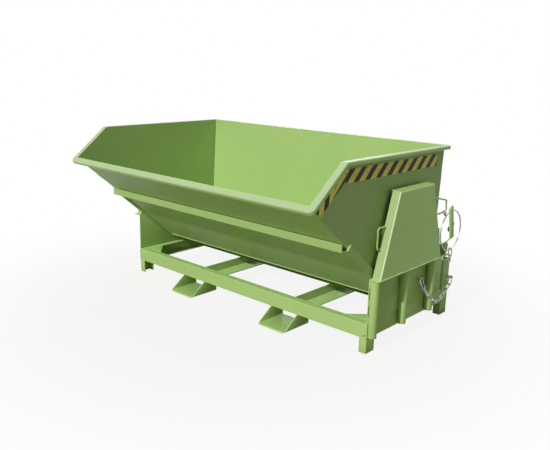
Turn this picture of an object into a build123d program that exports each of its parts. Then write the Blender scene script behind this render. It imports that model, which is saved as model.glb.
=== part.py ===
from build123d import *
import math
import os

# Sizes are in millimetres. X runs along the trough, Y from the low front lip to the back,
# Z up from the ground. The front rail's face lies at Y = 0 until the pieces are centred.

# Base frame of channel sections
BASE_LENGTH = 2000.0
BASE_DEPTH = 887.0
GROUND_CLEARANCE = 86.0
RAIL_HEIGHT = 85.0
RAIL_FLANGE = 47.0
RAIL_WALL = 5.0
RAIL_BEND = 4.0
DRAIN_DIAMETER = 10.0
DRAIN_INSET = 14.5
DRAIN_RISE = 16.0
LEG_DEPTH = 80.0
LEG_WALL = 6.0
REAR_LEG_HEIGHT = 360.0
GUSSET_ALONG_SIDE = 121.0
GUSSET_ALONG_FRONT = 133.0
GUSSET_WALL = 6.0

# Fork pockets
POCKET_SPACING = 812.0
POCKET_WIDTH = 212.0
POCKET_WALL = 6.0
POCKET_BEND = 14.0
LOOP_NOSE = 115.0
LOOP_TAIL = 108.0
FORK_ANGLE_HEIGHT = 60.0
FORK_ANGLE_WALL = 6.0

# End panels, tubes and base plates
PANEL_WALL = 5.0
PANEL_TOP = 419.0
PANEL_SLOT = 25.0
TUBE_DIAMETER = 48.0
TUBE_WALL = 4.0
TUBE_BOTTOM = 100.0
TUBE_SETBACK = 16.0
TUBE_PITCH = 295.0
TUBE_COUNT = 3
BASE_PLATE_WALL = 6.0
BASE_PLATE_OVERHANG = 58.0
BASE_PLATE_TAIL = 94.5

# Stands with the pivots of the trough
STAND_MIDDLE = 340.0
STAND_FOOT = 645.0
STAND_HEAD = 357.0
STAND_HEIGHT = 458.0
STAND_FACE = 1054.0
STAND_DEPTH = 51.0
STAND_WALL = 4.0
STAND_BEND = 10.0
STAND_CAP = 66.0
STAND_CAP_CORNER = 12.0
PIVOT_BEHIND_FRONT = 170.0
PIVOT_HEIGHT = 650.0
PIN_DIAMETER = 50.0
PIN_CLEARANCE = 0.05
BUSH_WALL = 8.0
BUSH_LENGTH = 24.0
BUSH_INSET = 24.0
BEARING_WALL = 12.0
BEARING_HEIGHT = 170.0
HUB_DIAMETER = 90.0
HUB_WALL = 8.0
WASHER_DIAMETER = 74.0
WASHER_WALL = 6.0
WASHER_PLAY = 0.5

# Round-bar loops on the stands
LOOP_BAR = 9.0
LOOP_BEND = 12.0
FRONT_LOOP_INSET = 45.0
FRONT_LOOP_REACH = 35.0
FRONT_LOOP_TOP = 697.0
FRONT_LOOP_BOTTOM = 581.0
REAR_LOOP_INSET = 10.0
REAR_LOOP_TOP = 797.0
REAR_LOOP_SHOULDER = 763.0
REAR_LOOP_BOTTOM = 694.0
REAR_LOOP_BACK = 686.0
REAR_LOOP_CORNER = 693.0

# Trough of steel sheet
TROUGH_LENGTH = 1956.0
SHEET = 4.0
LIP_FRONT = -496.0
LIP_HEIGHT = 887.0
RIM_KNEE = -264.0
RIM_HEIGHT = 1073.0
BACK_TOP = 730.0
BACK_FOOT = 690.0
BOTTOM_FRONT = 284.0
BOTTOM_HEIGHT = 232.0
RIM_WIDTH = 35.0
RIM_DROP = 20.0
RIM_CORNER = 33.0
RIM_BEND = 6.0
STIFFENER_FACE = -228.0
STIFFENER_FOOT = 611.0
STIFFENER_WALL = 5.0
STIFFENER_GAP = 4.5
EDGE_ANGLE_SETBACK = 131.0
EDGE_ANGLE_HEIGHT = 53.0
EDGE_ANGLE_WIDTH = 50.0
EDGE_ANGLE_WALL = 6.0
STRIP_WIDTH = 40.0
STRIP_WALL = 12.0
STRIP_OVERLAP = 13.0
STRIP_START = 403.0
TAPE_WALL = 0.6
TAPE_DROP = 43.0
TAPE_WIDTH = 69.0
SLANT_TAPE_WIDTH = 56.0
TAPE_END = 655.0
TAPE_FOOT = 3.0

# Rests that hold the trough level
REST_BEHIND_FRONT = 650.0
REST_LENGTH = 95.0
REST_WIDTH = 60.0
REST_WALL = 6.0
BUFFER_DIAMETER = 50.0
BUFFER_HEIGHT = 24.0
BUFFER_GAP = 0.3

# Lock lever on the right end
LEVER_SETBACK = 1.0
LEVER_WIDTH = 39.0
LEVER_WALL = 10.0
LEVER_FACE = 1085.0
LEVER_CRANK = 42.0
LEVER_LEAN = 11.0
LEVER_TOP = 735.0
LEVER_FOOT = 432.0
CRANK_START = 495.0
CRANK_END = 537.0
LEVER_PIVOT_INSET = 11.0
LEVER_PIVOT_RISE = 22.0
LOCK_ANGLE = 22.0
SHAFT_DIAMETER = 16.0
SHAFT_CLEARANCE = 0.05
LEVER_STOP_GAP = 0.4
LEVER_TOOTH_REACH = 8.0
LEVER_TOOTH_HEIGHT = 26.0
LEVER_TOOTH_SLOPE = 8.0
LUG_LENGTH = 41.0
LUG_OVERHANG = 7.0
LUG_HEIGHT = 53.0
LUG_PLAY = 2.0
HOOK_WALL = 9.0
HOOK_PLAY = 5.0
HOOK_BAR = 16.0
HOOK_HUB_DIAMETER = 36.0
HOOK_TOOTH = 13.5
STUD_DIAMETER = 16.0
STUD_AHEAD = 56.0
STUD_ABOVE = 88.0
STUD_GAP = 2.0
PEG_DIAMETER = 32.0
PEG_LENGTH = 13.0
PEG_HEIGHT = 590.0

# Pull ring on the rear loop of the right stand
RING_RADIUS = 122.0
RING_WIRE = 8.0
RING_FACE = 1052.0
RING_BACK = 757.0
RING_HEIGHT = 569.0
EYE_BACK = 676.0
EYE_WIRE = 5.0
EYE_RADIUS = 10.5
EYE_GAP = 0.3
FERRULE_DIAMETER = 14.0
HANG_BEHIND = 18.0

# Safety chain on the right panel
CHAIN_WIRE = 7.0
LINK_WIDTH = 26.0
LINK_PLAY = 0.6
HANG_LINK = 44.0
CHAIN_LINKS = 9
CHAIN_SEAT = 1.6
CHAIN_TUBE_CLEARANCE = 17.0
CHAIN_TUBE_LEADS = [-49.0, -7.0]
CHAIN_TUBE_HEIGHTS = [192.0, 166.0]
CHAIN_OUT = [58.0, 46.0, 36.0, 27.0]
CHAIN_SHARES = [0.2, 0.395, 0.66, 0.9]
CHAIN_HEIGHTS = [142.0, 147.0, 174.0, 195.0]
HOOK_ROD = 9.0
HOOK_BACK = 494.0
HOOK_HEIGHT = 312.0
HOOK_OUT = 40.0
HOOK_RISE = 25.0
SNAP_WIRE = 10.0
SNAP_LENGTH = 100.0
SNAP_WIDTH = 36.0
SNAP_OUT = 26.0
SNAP_TILT = 34.0
SNAP_GATE = 34.0
GATE_DIAMETER = 7.6
GATE_GAP = 0.6
STAPLE_ROD = 8.0
STAPLE_SETBACK = 15.0
STAPLE_HEIGHT = 240.0
STAPLE_OUT = 26.0
STAPLE_WIDTH = 28.0

# Values that follow from the sizes above
END_FACE = BASE_LENGTH / 2
RAIL_TOP = GROUND_CLEARANCE + RAIL_HEIGHT
FLANGE_TIP = END_FACE - RAIL_FLANGE
REAR_LEG_FRONT = BASE_DEPTH - LEG_DEPTH
STAND_BASE = PANEL_TOP + BASE_PLATE_WALL
STAND_TOP = STAND_BASE + STAND_HEIGHT
STAND_EDGE = STAND_FACE - STAND_DEPTH
BASE_PLATE_LENGTH = STAND_MIDDLE + STAND_FOOT / 2 + BASE_PLATE_TAIL
STAND_LEAN = (STAND_FOOT - STAND_HEAD) / 2 / STAND_HEIGHT
WALL_FACE = TROUGH_LENGTH / 2
WALL_INSIDE = WALL_FACE - SHEET
LEVER_OUT = LEVER_FACE - LEVER_CRANK
LEVER_IN = LEVER_OUT - LEVER_WALL
LEVER_BACK = BASE_PLATE_LENGTH - LEVER_SETBACK
LEVER_FRONT = LEVER_BACK - LEVER_WIDTH
LEVER_PIVOT_BACK = LEVER_FRONT + LEVER_PIVOT_INSET
LEVER_PIVOT_HEIGHT = STAND_BASE + LEVER_PIVOT_RISE
HOOK_IN = WALL_FACE + HOOK_PLAY
STAPLE_BACK = BASE_DEPTH - STAPLE_SETBACK
STUD_BACK = LEVER_PIVOT_BACK - STUD_AHEAD
STUD_HEIGHT = LEVER_PIVOT_HEIGHT + STUD_ABOVE
HANG_BACK = BASE_PLATE_LENGTH + HANG_BEHIND

nodes = {}


def block(x_span, y_span, z_span):
    """Box between two limits along each axis."""
    spans = (x_span, y_span, z_span)
    size = [high - low for low, high in spans]
    middle = [(high + low) / 2 for low, high in spans]
    return Pos(*middle) * Box(*size)


def upright_plate(outline, x_span):
    """Plate with an outline in Y and Z, between two limits along X."""
    face = Plane.YZ.offset(x_span[0]) * Polygon(*outline, align=None)
    return extrude(face, x_span[1] - x_span[0], dir=(1, 0, 0))


def level_plate(outline, z_span):
    """Plate with an outline in X and Y, between two limits along Z."""
    face = Plane.XY.offset(z_span[0]) * Polygon(*outline, align=None)
    return extrude(face, z_span[1] - z_span[0], dir=(0, 0, 1))


def rod_along_x(diameter, x_span, y, z):
    """Round bar along X between two limits."""
    middle = (x_span[0] + x_span[1]) / 2
    return Pos(middle, y, z) * Rot(0, 90, 0) * Cylinder(diameter / 2, x_span[1] - x_span[0])


def bent_rod(diameter, points, bend):
    """Round bar bent along a line of points."""
    path = FilletPolyline(*points, radius=bend)
    return sweep(Plane(origin=path @ 0, z_dir=path % 0) * Circle(diameter / 2), path=path)


def mirrored(shape):
    """The same piece on the left end."""
    return mirror(shape, about=Plane.YZ)


def keep(name, *shapes):
    """Store the solids of a node."""
    nodes[name] = [solid for shape in shapes for solid in shape.solids()]


def keep_pair(name, shape):
    """Store a piece for the right end and its mirror image for the left end."""
    keep("right_" + name, shape)
    keep("left_" + name, mirrored(shape))


def offset_line(points, distance):
    """Open line of points moved to its right-hand side, with mitred corners."""
    moved = []
    last = len(points) - 1
    for index, (y, z) in enumerate(points):
        before = points[max(index - 1, 0)]
        after = points[min(index + 1, last)]
        normals = []
        for start, end in ((before, (y, z)), ((y, z), after)):
            length = math.dist(start, end)
            if length > 0:
                normals.append(((end[1] - start[1]) / length, (start[0] - end[0]) / length))
        across = [sum(values) / len(normals) for values in zip(*normals)]
        stretch = distance / (across[0] ** 2 + across[1] ** 2)
        moved.append((y + across[0] * stretch, z + across[1] * stretch))
    return moved


def band(points, near, far):
    """Closed outline between two offsets of an open line."""
    return offset_line(points, near) + offset_line(points, far)[::-1]


def corner_edges(shape, axis, point):
    """Edges along an axis that pass through a point of the other two axes."""
    found = []
    for edge in shape.edges().filter_by(axis):
        middle = edge @ 0.5
        gap = [abs(tuple(middle)[i] - point[i]) for i in range(3) if point[i] is not None]
        if max(gap) < 0.01:
            found.append(edge)
    return found


# Base frame
rail_span = (GROUND_CLEARANCE, RAIL_TOP)
inner_rail_span = (GROUND_CLEARANCE + RAIL_WALL, RAIL_TOP - RAIL_WALL)
front_outline = [(-END_FACE, 0), (END_FACE, 0), (FLANGE_TIP, RAIL_FLANGE), (-FLANGE_TIP, RAIL_FLANGE)]
front_rail = level_plate(front_outline, rail_span)
front_rail -= block((-END_FACE, END_FACE), (RAIL_WALL, RAIL_FLANGE), inner_rail_span)
for level in rail_span:
    front_rail = fillet(corner_edges(front_rail, Axis.X, (None, 0, level)), RAIL_BEND)
drain_place = Pos(END_FACE - DRAIN_INSET, RAIL_WALL / 2, GROUND_CLEARANCE + DRAIN_RISE)
front_rail -= drain_place * Rot(90, 0, 0) * Cylinder(DRAIN_DIAMETER / 2, RAIL_WALL)
keep("front_rail", front_rail)

side_outline = [(END_FACE, 0), (END_FACE, REAR_LEG_FRONT)]
side_outline += [(FLANGE_TIP, REAR_LEG_FRONT), (FLANGE_TIP, RAIL_FLANGE)]
side_rail = level_plate(side_outline, rail_span)
side_rail -= block((FLANGE_TIP, END_FACE - RAIL_WALL), (0, REAR_LEG_FRONT), inner_rail_span)
for level in rail_span:
    side_rail = fillet(corner_edges(side_rail, Axis.Y, (END_FACE, None, level)), RAIL_BEND)
keep_pair("side_rail", side_rail)

rear_rail = block((-FLANGE_TIP, FLANGE_TIP), (BASE_DEPTH - RAIL_FLANGE, BASE_DEPTH), rail_span)
rear_inside = (BASE_DEPTH - RAIL_FLANGE, BASE_DEPTH - RAIL_WALL)
rear_rail -= block((-FLANGE_TIP, FLANGE_TIP), rear_inside, inner_rail_span)
for level in rail_span:
    rear_rail = fillet(corner_edges(rear_rail, Axis.X, (None, BASE_DEPTH, level)), RAIL_BEND)
keep("rear_rail", rear_rail)

gusset_outline = [(FLANGE_TIP, RAIL_FLANGE), (FLANGE_TIP, RAIL_FLANGE + GUSSET_ALONG_SIDE)]
gusset_outline += [(FLANGE_TIP - GUSSET_ALONG_FRONT, RAIL_FLANGE)]
gusset = level_plate(gusset_outline, (RAIL_TOP - GUSSET_WALL, RAIL_TOP))
keep("corner_gussets", gusset, mirrored(gusset))


def leg(front, height):
    """Channel-section leg with its web on the right end face."""
    back = front + LEG_DEPTH
    shape = block((FLANGE_TIP, END_FACE), (front, back), (0, height))
    shape -= block((FLANGE_TIP, END_FACE - LEG_WALL), (front + LEG_WALL, back - LEG_WALL), (0, height))
    for edge in (front, back):
        shape = fillet(corner_edges(shape, Axis.Z, (END_FACE, edge, None)), RAIL_BEND)
    return shape


keep_pair("front_leg", leg(0, GROUND_CLEARANCE))
right_rear_leg = leg(REAR_LEG_FRONT, REAR_LEG_HEIGHT)
keep_pair("rear_leg", right_rear_leg)


def fork_loop(middle, rear):
    """Bent strip under one end of a fork pocket."""
    half = POCKET_WIDTH / 2
    side = [(-LOOP_NOSE, 0), (LOOP_TAIL, 0), (LOOP_TAIL, GROUND_CLEARANCE), (0, GROUND_CLEARANCE)]
    if rear:
        side = [(BASE_DEPTH - y, z) for y, z in side]
    shape = upright_plate(side, (middle - half, middle + half))
    inside = (middle - half + POCKET_WALL, middle + half - POCKET_WALL)
    hollow = block(inside, (-BASE_DEPTH, 2 * BASE_DEPTH), (POCKET_WALL, 2 * GROUND_CLEARANCE))
    for edge in inside:
        hollow = fillet(corner_edges(hollow, Axis.Y, (edge, None, POCKET_WALL)), POCKET_BEND - POCKET_WALL)
    for edge in (middle - half, middle + half):
        shape = fillet(corner_edges(shape, Axis.Y, (edge, None, 0)), POCKET_BEND)
    return shape - hollow


def fork_angle(middle):
    """Angle section from front rail to rear rail, its upright leg on the pocket's middle line."""
    span = (RAIL_FLANGE, BASE_DEPTH - RAIL_FLANGE)
    low = GROUND_CLEARANCE
    shape = block((middle, middle + FORK_ANGLE_WALL), span, (low, low + FORK_ANGLE_HEIGHT))
    shape += block((middle, middle + POCKET_WIDTH / 2), span, (low, low + FORK_ANGLE_WALL))
    return shape


for side_name, side in (("left", -1), ("right", 1)):
    pocket_middle = side * POCKET_SPACING / 2
    keep(side_name + "_fork_angle", fork_angle(pocket_middle))
    keep(side_name + "_front_fork_loop", fork_loop(pocket_middle, False))
    keep(side_name + "_rear_fork_loop", fork_loop(pocket_middle, True))

# End panels
panel_span = (END_FACE - PANEL_WALL, END_FACE)
end_panel = block(panel_span, (0, REAR_LEG_FRONT - PANEL_SLOT), (RAIL_TOP, PANEL_TOP))
keep_pair("end_panel", end_panel)

tubes = []
for index in range(TUBE_COUNT):
    tube_y = TUBE_SETBACK + index * TUBE_PITCH
    tube_place = Pos(END_FACE + TUBE_DIAMETER / 2, tube_y, (TUBE_BOTTOM + PANEL_TOP) / 2)
    tube = Cylinder(TUBE_DIAMETER / 2, PANEL_TOP - TUBE_BOTTOM)
    tube -= Cylinder(TUBE_DIAMETER / 2 - TUBE_WALL, PANEL_TOP - TUBE_BOTTOM)
    tubes.append(tube_place * tube)
keep("right_panel_tubes", *tubes)
# The left end has no tube on its front corner.
keep("left_panel_tubes", *[mirrored(tube) for tube in tubes[1:]])

base_plate_span = (END_FACE - PANEL_WALL, END_FACE + BASE_PLATE_OVERHANG)
base_plate = block(base_plate_span, (0, BASE_PLATE_LENGTH), (PANEL_TOP, STAND_BASE))
keep_pair("base_plate", base_plate)


# Stands
def stand_outline(low, high, inset):
    """Trapezoid of the stand between two heights, drawn in from its sloping edges."""
    draw_in = inset * math.hypot(1, STAND_LEAN)
    halves = [STAND_FOOT / 2 - STAND_LEAN * (z - STAND_BASE) - draw_in for z in (low, high)]
    lower = [(STAND_MIDDLE - halves[0], low), (STAND_MIDDLE + halves[0], low)]
    return lower + [(STAND_MIDDLE + halves[1], high), (STAND_MIDDLE - halves[1], high)]


def rounded_front(shape, radius):
    """Round the edges of a stand body's outer face, except the foot."""
    return fillet(shape.faces().sort_by(Axis.X)[-1].edges().sort_by(Axis.Z)[1:], radius)


stand = upright_plate(stand_outline(STAND_BASE, STAND_TOP, 0), (STAND_EDGE, STAND_FACE))
inner_outline = stand_outline(STAND_BASE - STAND_WALL, STAND_TOP - STAND_WALL, STAND_WALL)
stand_hollow = upright_plate(inner_outline, (STAND_EDGE, STAND_FACE - STAND_WALL))
stand = rounded_front(stand, STAND_BEND) - rounded_front(stand_hollow, STAND_BEND - STAND_WALL)
cap_span = (STAND_MIDDLE - STAND_HEAD / 2, STAND_MIDDLE + STAND_HEAD / 2)
cap_edge = STAND_FACE - STAND_CAP
stand_cap = block((cap_edge, STAND_EDGE), cap_span, (STAND_TOP - STAND_WALL, STAND_TOP))
cap_corners = [edge for y in cap_span for edge in corner_edges(stand_cap, Axis.Z, (cap_edge, y, None))]
stand += fillet(cap_corners, STAND_CAP_CORNER)
keep_pair("stand", stand)

bearing_low = PIVOT_HEIGHT - BEARING_HEIGHT / 2
bush_radius = PIN_DIAMETER / 2 + BUSH_WALL
bearing_middle = WALL_FACE + BUSH_INSET + BUSH_LENGTH / 2
bearing_span = (bearing_middle - BEARING_WALL / 2, bearing_middle + BEARING_WALL / 2)
bearing_outline = stand_outline(bearing_low, bearing_low + BEARING_HEIGHT, STAND_WALL)
bearing_plate = upright_plate(bearing_outline, bearing_span)
bearing_plate -= rod_along_x(2 * bush_radius, bearing_span, PIVOT_BEHIND_FRONT, PIVOT_HEIGHT)
keep("bearing_plates", bearing_plate, mirrored(bearing_plate))

bush_span = (WALL_FACE + BUSH_INSET, WALL_FACE + BUSH_INSET + BUSH_LENGTH)
bush = rod_along_x(2 * bush_radius, bush_span, PIVOT_BEHIND_FRONT, PIVOT_HEIGHT)
bush -= rod_along_x(PIN_DIAMETER + 2 * PIN_CLEARANCE, bush_span, PIVOT_BEHIND_FRONT, PIVOT_HEIGHT)
keep("pivot_bushes", bush, mirrored(bush))


def stand_edge(z, side):
    """Y of the stand's sloping edge at a height, for the front (-1) or the rear (1) edge."""
    return STAND_MIDDLE + side * (STAND_FOOT / 2 - STAND_LEAN * (z - STAND_BASE))


front_loop_x = STAND_FACE - FRONT_LOOP_INSET
front_loop_points = [(front_loop_x, stand_edge(FRONT_LOOP_TOP, -1) + STAND_WALL, FRONT_LOOP_TOP)]
front_loop_points += [(front_loop_x, FRONT_LOOP_REACH, z) for z in (FRONT_LOOP_TOP, FRONT_LOOP_BOTTOM)]
front_loop_points += [(front_loop_x, stand_edge(FRONT_LOOP_BOTTOM, -1) + STAND_WALL, FRONT_LOOP_BOTTOM)]
rear_loop_x = STAND_FACE - REAR_LOOP_INSET
rear_loop_points = [(rear_loop_x, stand_edge(REAR_LOOP_TOP, 1) - STAND_WALL, REAR_LOOP_TOP)]
rear_loop_points += [(rear_loop_x, REAR_LOOP_BACK, REAR_LOOP_SHOULDER)]
rear_loop_points += [(rear_loop_x, REAR_LOOP_CORNER, REAR_LOOP_BOTTOM)]
rear_loop_points += [(rear_loop_x, stand_edge(REAR_LOOP_BOTTOM, 1) - STAND_WALL, REAR_LOOP_BOTTOM)]
stand_space = upright_plate(stand_outline(STAND_BASE, STAND_TOP, 0), (STAND_EDGE - LOOP_BAR, STAND_FACE))
stand_loops = []
for loop_points in (front_loop_points, rear_loop_points):
    stand_loops.append(bent_rod(LOOP_BAR, loop_points, LOOP_BEND) - stand_space)
keep("right_stand_loops", *stand_loops)
keep("left_stand_loops", *[mirrored(loop) for loop in stand_loops])

# Trough walls
lip = (LIP_FRONT, LIP_HEIGHT)
knee = (RIM_KNEE, RIM_HEIGHT)
back_top = (BACK_TOP, RIM_HEIGHT)
back_foot = (BACK_FOOT, BOTTOM_HEIGHT)
bottom_front = (BOTTOM_FRONT, BOTTOM_HEIGHT)
outside = [back_top, back_foot, bottom_front, lip]
inside = offset_line(outside, SHEET)
for index, wall_name in enumerate(("back_wall", "bottom_plate", "slope_wall")):
    section = [outside[index], outside[index + 1], inside[index + 1], inside[index]]
    keep(wall_name, upright_plate(section, (-WALL_INSIDE, WALL_INSIDE)))
end_outline = [lip, bottom_front, back_foot, back_top, knee]
end_wall = upright_plate(end_outline, (WALL_INSIDE, WALL_FACE))
keep_pair("end_wall", end_wall)

# Rim
slant = math.atan2(RIM_HEIGHT - LIP_HEIGHT, RIM_KNEE - LIP_FRONT)
forward = (-math.cos(slant), -math.sin(slant))


def rim_line(reach):
    """Line of the rim's top face from its front edge over the knee to its back edge."""
    front = (LIP_FRONT + reach * forward[0], LIP_HEIGHT + reach * forward[1])
    return [front, knee, (BACK_TOP + reach, RIM_HEIGHT)]


rim_out = WALL_FACE + RIM_WIDTH
side_rim = upright_plate(band(rim_line(RIM_WIDTH), 0, RIM_DROP), (WALL_FACE, rim_out))
cavity_reach = RIM_WIDTH - SHEET
side_cavity = upright_plate(band(rim_line(cavity_reach), SHEET, 2 * RIM_DROP), (WALL_FACE, rim_out - SHEET))


def rounded_ends(shape, radius):
    """Round the front and the rear corner edge on the outer face of a rim body."""
    ends = shape.faces().sort_by(Axis.X)[-1].edges().sort_by(Axis.Y)
    corners = []
    for edge in (ends[0], ends[-1]):
        corners += [near for near in shape.edges() if abs((near @ 0.5 - edge @ 0.5).length) < 0.01]
    return fillet(corners, radius)


side_rim = rounded_ends(side_rim, RIM_CORNER)
side_cavity = rounded_ends(side_cavity, RIM_CORNER - SHEET)
side_rim -= side_cavity
rim_edges = []
for top_face in side_rim.faces().filter_by(lambda face: face.normal_at().Z > 0.5).sort_by(Axis.Z)[-2:]:
    for edge in top_face.edges():
        middle = edge @ 0.5
        if middle.X > WALL_FACE + RIM_BEND / 2 and abs(middle.Y - RIM_KNEE) > RIM_BEND:
            rim_edges.append(edge)
side_rim = fillet(rim_edges, RIM_BEND)
keep_pair("rim", side_rim)

front_tip = rim_line(RIM_WIDTH)[0]
front_flange = band([front_tip, lip], 0, SHEET)
turn_start = rim_line(cavity_reach)[0]
front_turn = band([front_tip, turn_start], 0, RIM_DROP)
front_rim = upright_plate(front_flange, (-WALL_FACE, WALL_FACE))
front_rim += upright_plate(front_turn, (-WALL_FACE, WALL_FACE))
front_rim = fillet(corner_edges(front_rim, Axis.X, (None, front_tip[0], front_tip[1])), RIM_BEND)
keep("front_rim", front_rim)

back_rim = block((-WALL_FACE, WALL_FACE), (BACK_TOP, BACK_TOP + RIM_WIDTH), (RIM_HEIGHT - SHEET, RIM_HEIGHT))
back_turn = (BACK_TOP + cavity_reach, BACK_TOP + RIM_WIDTH)
back_rim += block((-WALL_FACE, WALL_FACE), back_turn, (RIM_HEIGHT - RIM_DROP, RIM_HEIGHT))
back_rim = fillet(corner_edges(back_rim, Axis.X, (None, BACK_TOP + RIM_WIDTH, RIM_HEIGHT)), RIM_BEND)
keep("back_rim", back_rim)

# Stiffeners of the trough
slope_drop = (LIP_HEIGHT - BOTTOM_HEIGHT) / (BOTTOM_FRONT - LIP_FRONT)


def slope_height(y):
    """Height of the slope's outer face."""
    return LIP_HEIGHT - slope_drop * (y - LIP_FRONT)


def slope_y(z):
    """Y of the slope's outer face at a height."""
    return LIP_FRONT + (LIP_HEIGHT - z) / slope_drop


leg_top = STIFFENER_FOOT + STIFFENER_WALL
inner_face = STIFFENER_FACE + STIFFENER_WALL
stiffener_outline = [(STIFFENER_FACE, STIFFENER_FOOT), (slope_y(STIFFENER_FOOT), STIFFENER_FOOT)]
stiffener_outline += [(slope_y(leg_top), leg_top), (inner_face, leg_top)]
stiffener_top = slope_height(inner_face) - STIFFENER_GAP
stiffener_outline += [(inner_face, stiffener_top), (STIFFENER_FACE, stiffener_top)]
keep("slope_stiffener", upright_plate(stiffener_outline, (-WALL_INSIDE, WALL_INSIDE)))

angle_back = BOTTOM_FRONT + EDGE_ANGLE_SETBACK
angle_low = BOTTOM_HEIGHT - EDGE_ANGLE_HEIGHT
angle_web = (angle_back - EDGE_ANGLE_WALL, angle_back)
angle_leg = (angle_back - EDGE_ANGLE_WIDTH, angle_back)
edge_angle = block((-WALL_INSIDE, WALL_INSIDE), angle_web, (angle_low, BOTTOM_HEIGHT))
edge_angle += block((-WALL_INSIDE, WALL_INSIDE), angle_leg, (angle_low, angle_low + EDGE_ANGLE_WALL))
keep("bottom_edge_angle", edge_angle)

slope_length = math.dist(lip, bottom_front)
down_slope = ((BOTTOM_FRONT - LIP_FRONT) / slope_length, (BOTTOM_HEIGHT - LIP_HEIGHT) / slope_length)
strip_line = [(lip[0] + STRIP_START * down_slope[0], lip[1] + STRIP_START * down_slope[1]), bottom_front]
strip_outline = band(strip_line, STRIP_OVERLAP, STRIP_OVERLAP - STRIP_WIDTH)
slope_strip = upright_plate(strip_outline, (WALL_FACE, WALL_FACE + STRIP_WALL))
keep_pair("slope_strip", slope_strip)

tape_line = [(TAPE_END, RIM_HEIGHT), knee, lip]
upper_edge = offset_line(tape_line, -TAPE_DROP)
lower_level = offset_line(tape_line, -TAPE_DROP - TAPE_WIDTH)
lower_slant = offset_line(tape_line, -TAPE_DROP - SLANT_TAPE_WIDTH)
tape_outline = [upper_edge[0], upper_edge[1]]
for tape_y, tape_z in (upper_edge[2], lower_slant[2]):
    tape_outline.append((tape_y - TAPE_FOOT * forward[0], tape_z - TAPE_FOOT * forward[1]))
tape_outline += [lower_slant[1], lower_level[1], lower_level[0]]
tape_span = (WALL_FACE, WALL_FACE + TAPE_WALL)
hazard_tape = upright_plate(tape_outline, tape_span) & upright_plate(end_outline, tape_span)
keep_pair("hazard_tape", hazard_tape)

# Trunnions
hub_span = (WALL_FACE, WALL_FACE + HUB_WALL)
washer_span = (bush_span[1] + WASHER_PLAY, bush_span[1] + WASHER_PLAY + WASHER_WALL)
pin_end = washer_span[1] + WASHER_WALL
trunnion = rod_along_x(HUB_DIAMETER, hub_span, PIVOT_BEHIND_FRONT, PIVOT_HEIGHT)
trunnion += rod_along_x(PIN_DIAMETER, (hub_span[0], pin_end), PIVOT_BEHIND_FRONT, PIVOT_HEIGHT)
keep_pair("trunnion", trunnion)
washer = rod_along_x(WASHER_DIAMETER, washer_span, PIVOT_BEHIND_FRONT, PIVOT_HEIGHT)
washer -= rod_along_x(PIN_DIAMETER, washer_span, PIVOT_BEHIND_FRONT, PIVOT_HEIGHT)
keep("pivot_washers", washer, mirrored(washer))

# Rests
buffer_top = BOTTOM_HEIGHT - BUFFER_GAP
rest_top = buffer_top - BUFFER_HEIGHT
rest_span = (END_FACE - PANEL_WALL - REST_LENGTH, END_FACE - PANEL_WALL)
rest_back = REST_BEHIND_FRONT + REST_WIDTH / 2
rest = block(rest_span, (REST_BEHIND_FRONT - REST_WIDTH / 2, rest_back), (rest_top - REST_WALL, rest_top))
rest += block(rest_span, (rest_back - REST_WALL, rest_back), (RAIL_TOP, rest_top))
keep("rest_brackets", rest, mirrored(rest))
buffer_x = rest_span[0] + REST_LENGTH / 2
buffer_place = Pos(buffer_x, REST_BEHIND_FRONT, rest_top + BUFFER_HEIGHT / 2)
rest_buffer = buffer_place * Cylinder(BUFFER_DIAMETER / 2, BUFFER_HEIGHT)
keep("rest_buffers", rest_buffer, mirrored(rest_buffer))

# Lock lever, its shaft and the latch
def leaned(shape):
    """The shape turned forward with the lever about its shaft."""
    shaft_axis = Axis((0, LEVER_PIVOT_BACK, LEVER_PIVOT_HEIGHT), (1, 0, 0))
    return shape.rotate(shaft_axis, LEVER_LEAN)


lever_side = [(LEVER_IN, LEVER_FOOT), (LEVER_OUT, LEVER_FOOT)]
lever_side += [(LEVER_OUT, CRANK_START), (LEVER_FACE, CRANK_END)]
lever_side += [(LEVER_FACE, LEVER_TOP), (LEVER_FACE - LEVER_WALL, LEVER_TOP)]
lever_side += [(LEVER_FACE - LEVER_WALL, CRANK_END), (LEVER_IN, CRANK_START)]
lever_plane = Plane(origin=(0, LEVER_BACK, 0), x_dir=(1, 0, 0), z_dir=(0, -1, 0))
lever = extrude(lever_plane * Polygon(*lever_side, align=None), LEVER_WIDTH, dir=(0, -1, 0))
lever -= rod_along_x(SHAFT_DIAMETER, (LEVER_IN, LEVER_OUT), LEVER_PIVOT_BACK, LEVER_PIVOT_HEIGHT)
top_corner = corner_edges(lever, Axis.X, (None, LEVER_FRONT, LEVER_TOP))
lever = chamfer(top_corner, LEVER_WIDTH / 3)
tooth_foot = PEG_HEIGHT + PEG_DIAMETER / 2
tooth_span = (LEVER_FACE - LEVER_WALL, LEVER_FACE)
tooth_tip = LEVER_BACK + LEVER_TOOTH_REACH
tooth_head = tooth_foot + LEVER_TOOTH_HEIGHT
tooth_outline = [(LEVER_BACK, tooth_foot), (tooth_tip, tooth_foot + LEVER_TOOTH_SLOPE)]
tooth_outline += [(tooth_tip, tooth_head - LEVER_TOOTH_SLOPE), (LEVER_BACK, tooth_head)]
lever += upright_plate(tooth_outline, tooth_span)
keep("lock_lever", leaned(lever))

shaft_span = (HOOK_IN, LEVER_OUT)
keep("lock_shaft", rod_along_x(SHAFT_DIAMETER, shaft_span, LEVER_PIVOT_BACK, LEVER_PIVOT_HEIGHT))

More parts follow.
